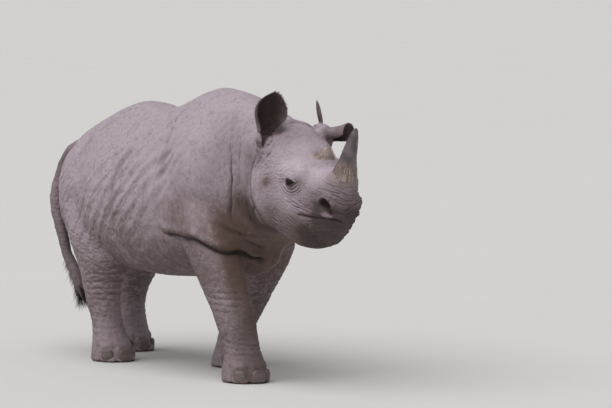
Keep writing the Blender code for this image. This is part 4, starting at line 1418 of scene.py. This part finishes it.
def tail_tuft():
    """Stiff bristles down the front and back edges of the tail's end."""
    line = np.array([(up, forward, left) for forward, left, up, _ in TAIL])[::-1]
    strands = []
    for _ in range(BRISTLES):
        up = 0.225 + 0.17 * rng.random() ** 1.3
        forward, left = (np.interp(up, line[:, 0], line[:, column]) for column in (1, 2))
        edge = rng.choice(SIDES)
        spread = rng.normal(0, 0.35)
        root = BODY_ORIGIN + on_body(forward + edge * 0.016, left + 0.012 * spread, up)
        aim = on_body(edge * 0.40 + 0.25, 0.5 * spread, -1.0) + jitter(0.12)
        strands.append((root, aim, rng.uniform(0.03, 0.060) * (1.15 - up), 0.0009, Vector((0, 0, -0.15))))
    return strands


def horn_fringe():
    """Frayed fibres that stand off the foot of each horn."""
    strands = []
    for sizes, blunt, count, reach in (
        (FRONT_HORN, FRONT_BLUNT, FRONT_FIBRES, 0.012), (REAR_HORN, REAR_BLUNT, REAR_FIBRES, 0.010),
    ):
        height = sizes[2] + HORN_SUNK
        for _ in range(count):
            angle = rng.uniform(0, 2 * math.pi)
            t = (HORN_SUNK + rng.uniform(0.000, 0.030) * min(1.0, height / 0.15)) / height
            root = horn_point(sizes, t, angle, blunt, 0.0005)
            below = horn_point(sizes, max(t - 0.03, 0.0), angle, blunt, 0.002)
            aim = (root - below).normalized() * 0.9 + jitter(0.16)
            outward = (horn_point(sizes, t, angle, blunt, 0.01) - root).normalized()
            length = reach * rng.uniform(0.5, 1.0)
            strands.append((root, aim + 0.10 * outward, length, 0.0007, 0.08 * outward))
    return strands


bristle = hair_paint("hair_dark", (0.030, 0.020, 0.017), (0.070, 0.048, 0.040))
hairs("ear_fringe", ear_fringe(), bristle)
hairs("lashes", lashes(), bristle)
hairs("tail_tuft", tail_tuft(), bristle)
hairs("horn_fringe", horn_fringe(), hair_paint("hair_horn", (0.290, 0.215, 0.190), (0.460, 0.365, 0.330)))


# --- Studio ---

AZIMUTH, ELEVATION = math.radians(-36), math.radians(4)  # of the camera round the animal
DISTANCE = 16.0
FOCAL = 233.4  # mm, so that the animal is as large in the frame as in the photograph
SUN, SKY = 2.12, 0.33  # strengths
SUN_FROM = Vector((-0.50, -0.02, 1.0))
TARGET = BODY_ORIGIN + Vector((0.2547, -0.2258, 0.6793))  # right of the animal, so that it stands on the left


def studio():
    """A pale floor, a dim sky and one very soft sun from the animal's right and above."""
    bpy.ops.mesh.primitive_plane_add(size=600)
    floor = bpy.context.object
    floor.name = "studio_floor"
    paint = Paint("studio_floor", 0.85)
    paint.base = paint.mix(paint.noise(0.8), (0.70, 0.685, 0.66), (0.74, 0.725, 0.70))
    floor.data.materials.append(paint.finish())

    world = bpy.data.worlds.new("studio")
    bpy.context.scene.world = world
    world.use_nodes = True
    background = world.node_tree.nodes["Background"]
    background.inputs["Color"].default_value = (0.95, 0.97, 1.0, 1.0)
    background.inputs["Strength"].default_value = SKY

    sun = bpy.data.lights.new("soft_key", "SUN")
    sun.energy = SUN
    sun.angle = math.radians(70)
    key = link("soft_key", sun)
    key.rotation_euler = SUN_FROM.to_track_quat("Z", "Y").to_euler()


def camera():
    level = math.cos(ELEVATION)
    back = Vector((math.sin(AZIMUTH) * level, -math.cos(AZIMUTH) * level, math.sin(ELEVATION)))
    data = bpy.data.cameras.new("camera")
    data.lens = FOCAL
    data.clip_end = 1000
    made = link("camera", data)
    made.location = TARGET + DISTANCE * back
    made.rotation_euler = (-back).to_track_quat("-Z", "Y").to_euler()
    bpy.context.scene.camera = made


studio()
camera()
bpy.context.scene.view_settings.view_transform = "Standard"
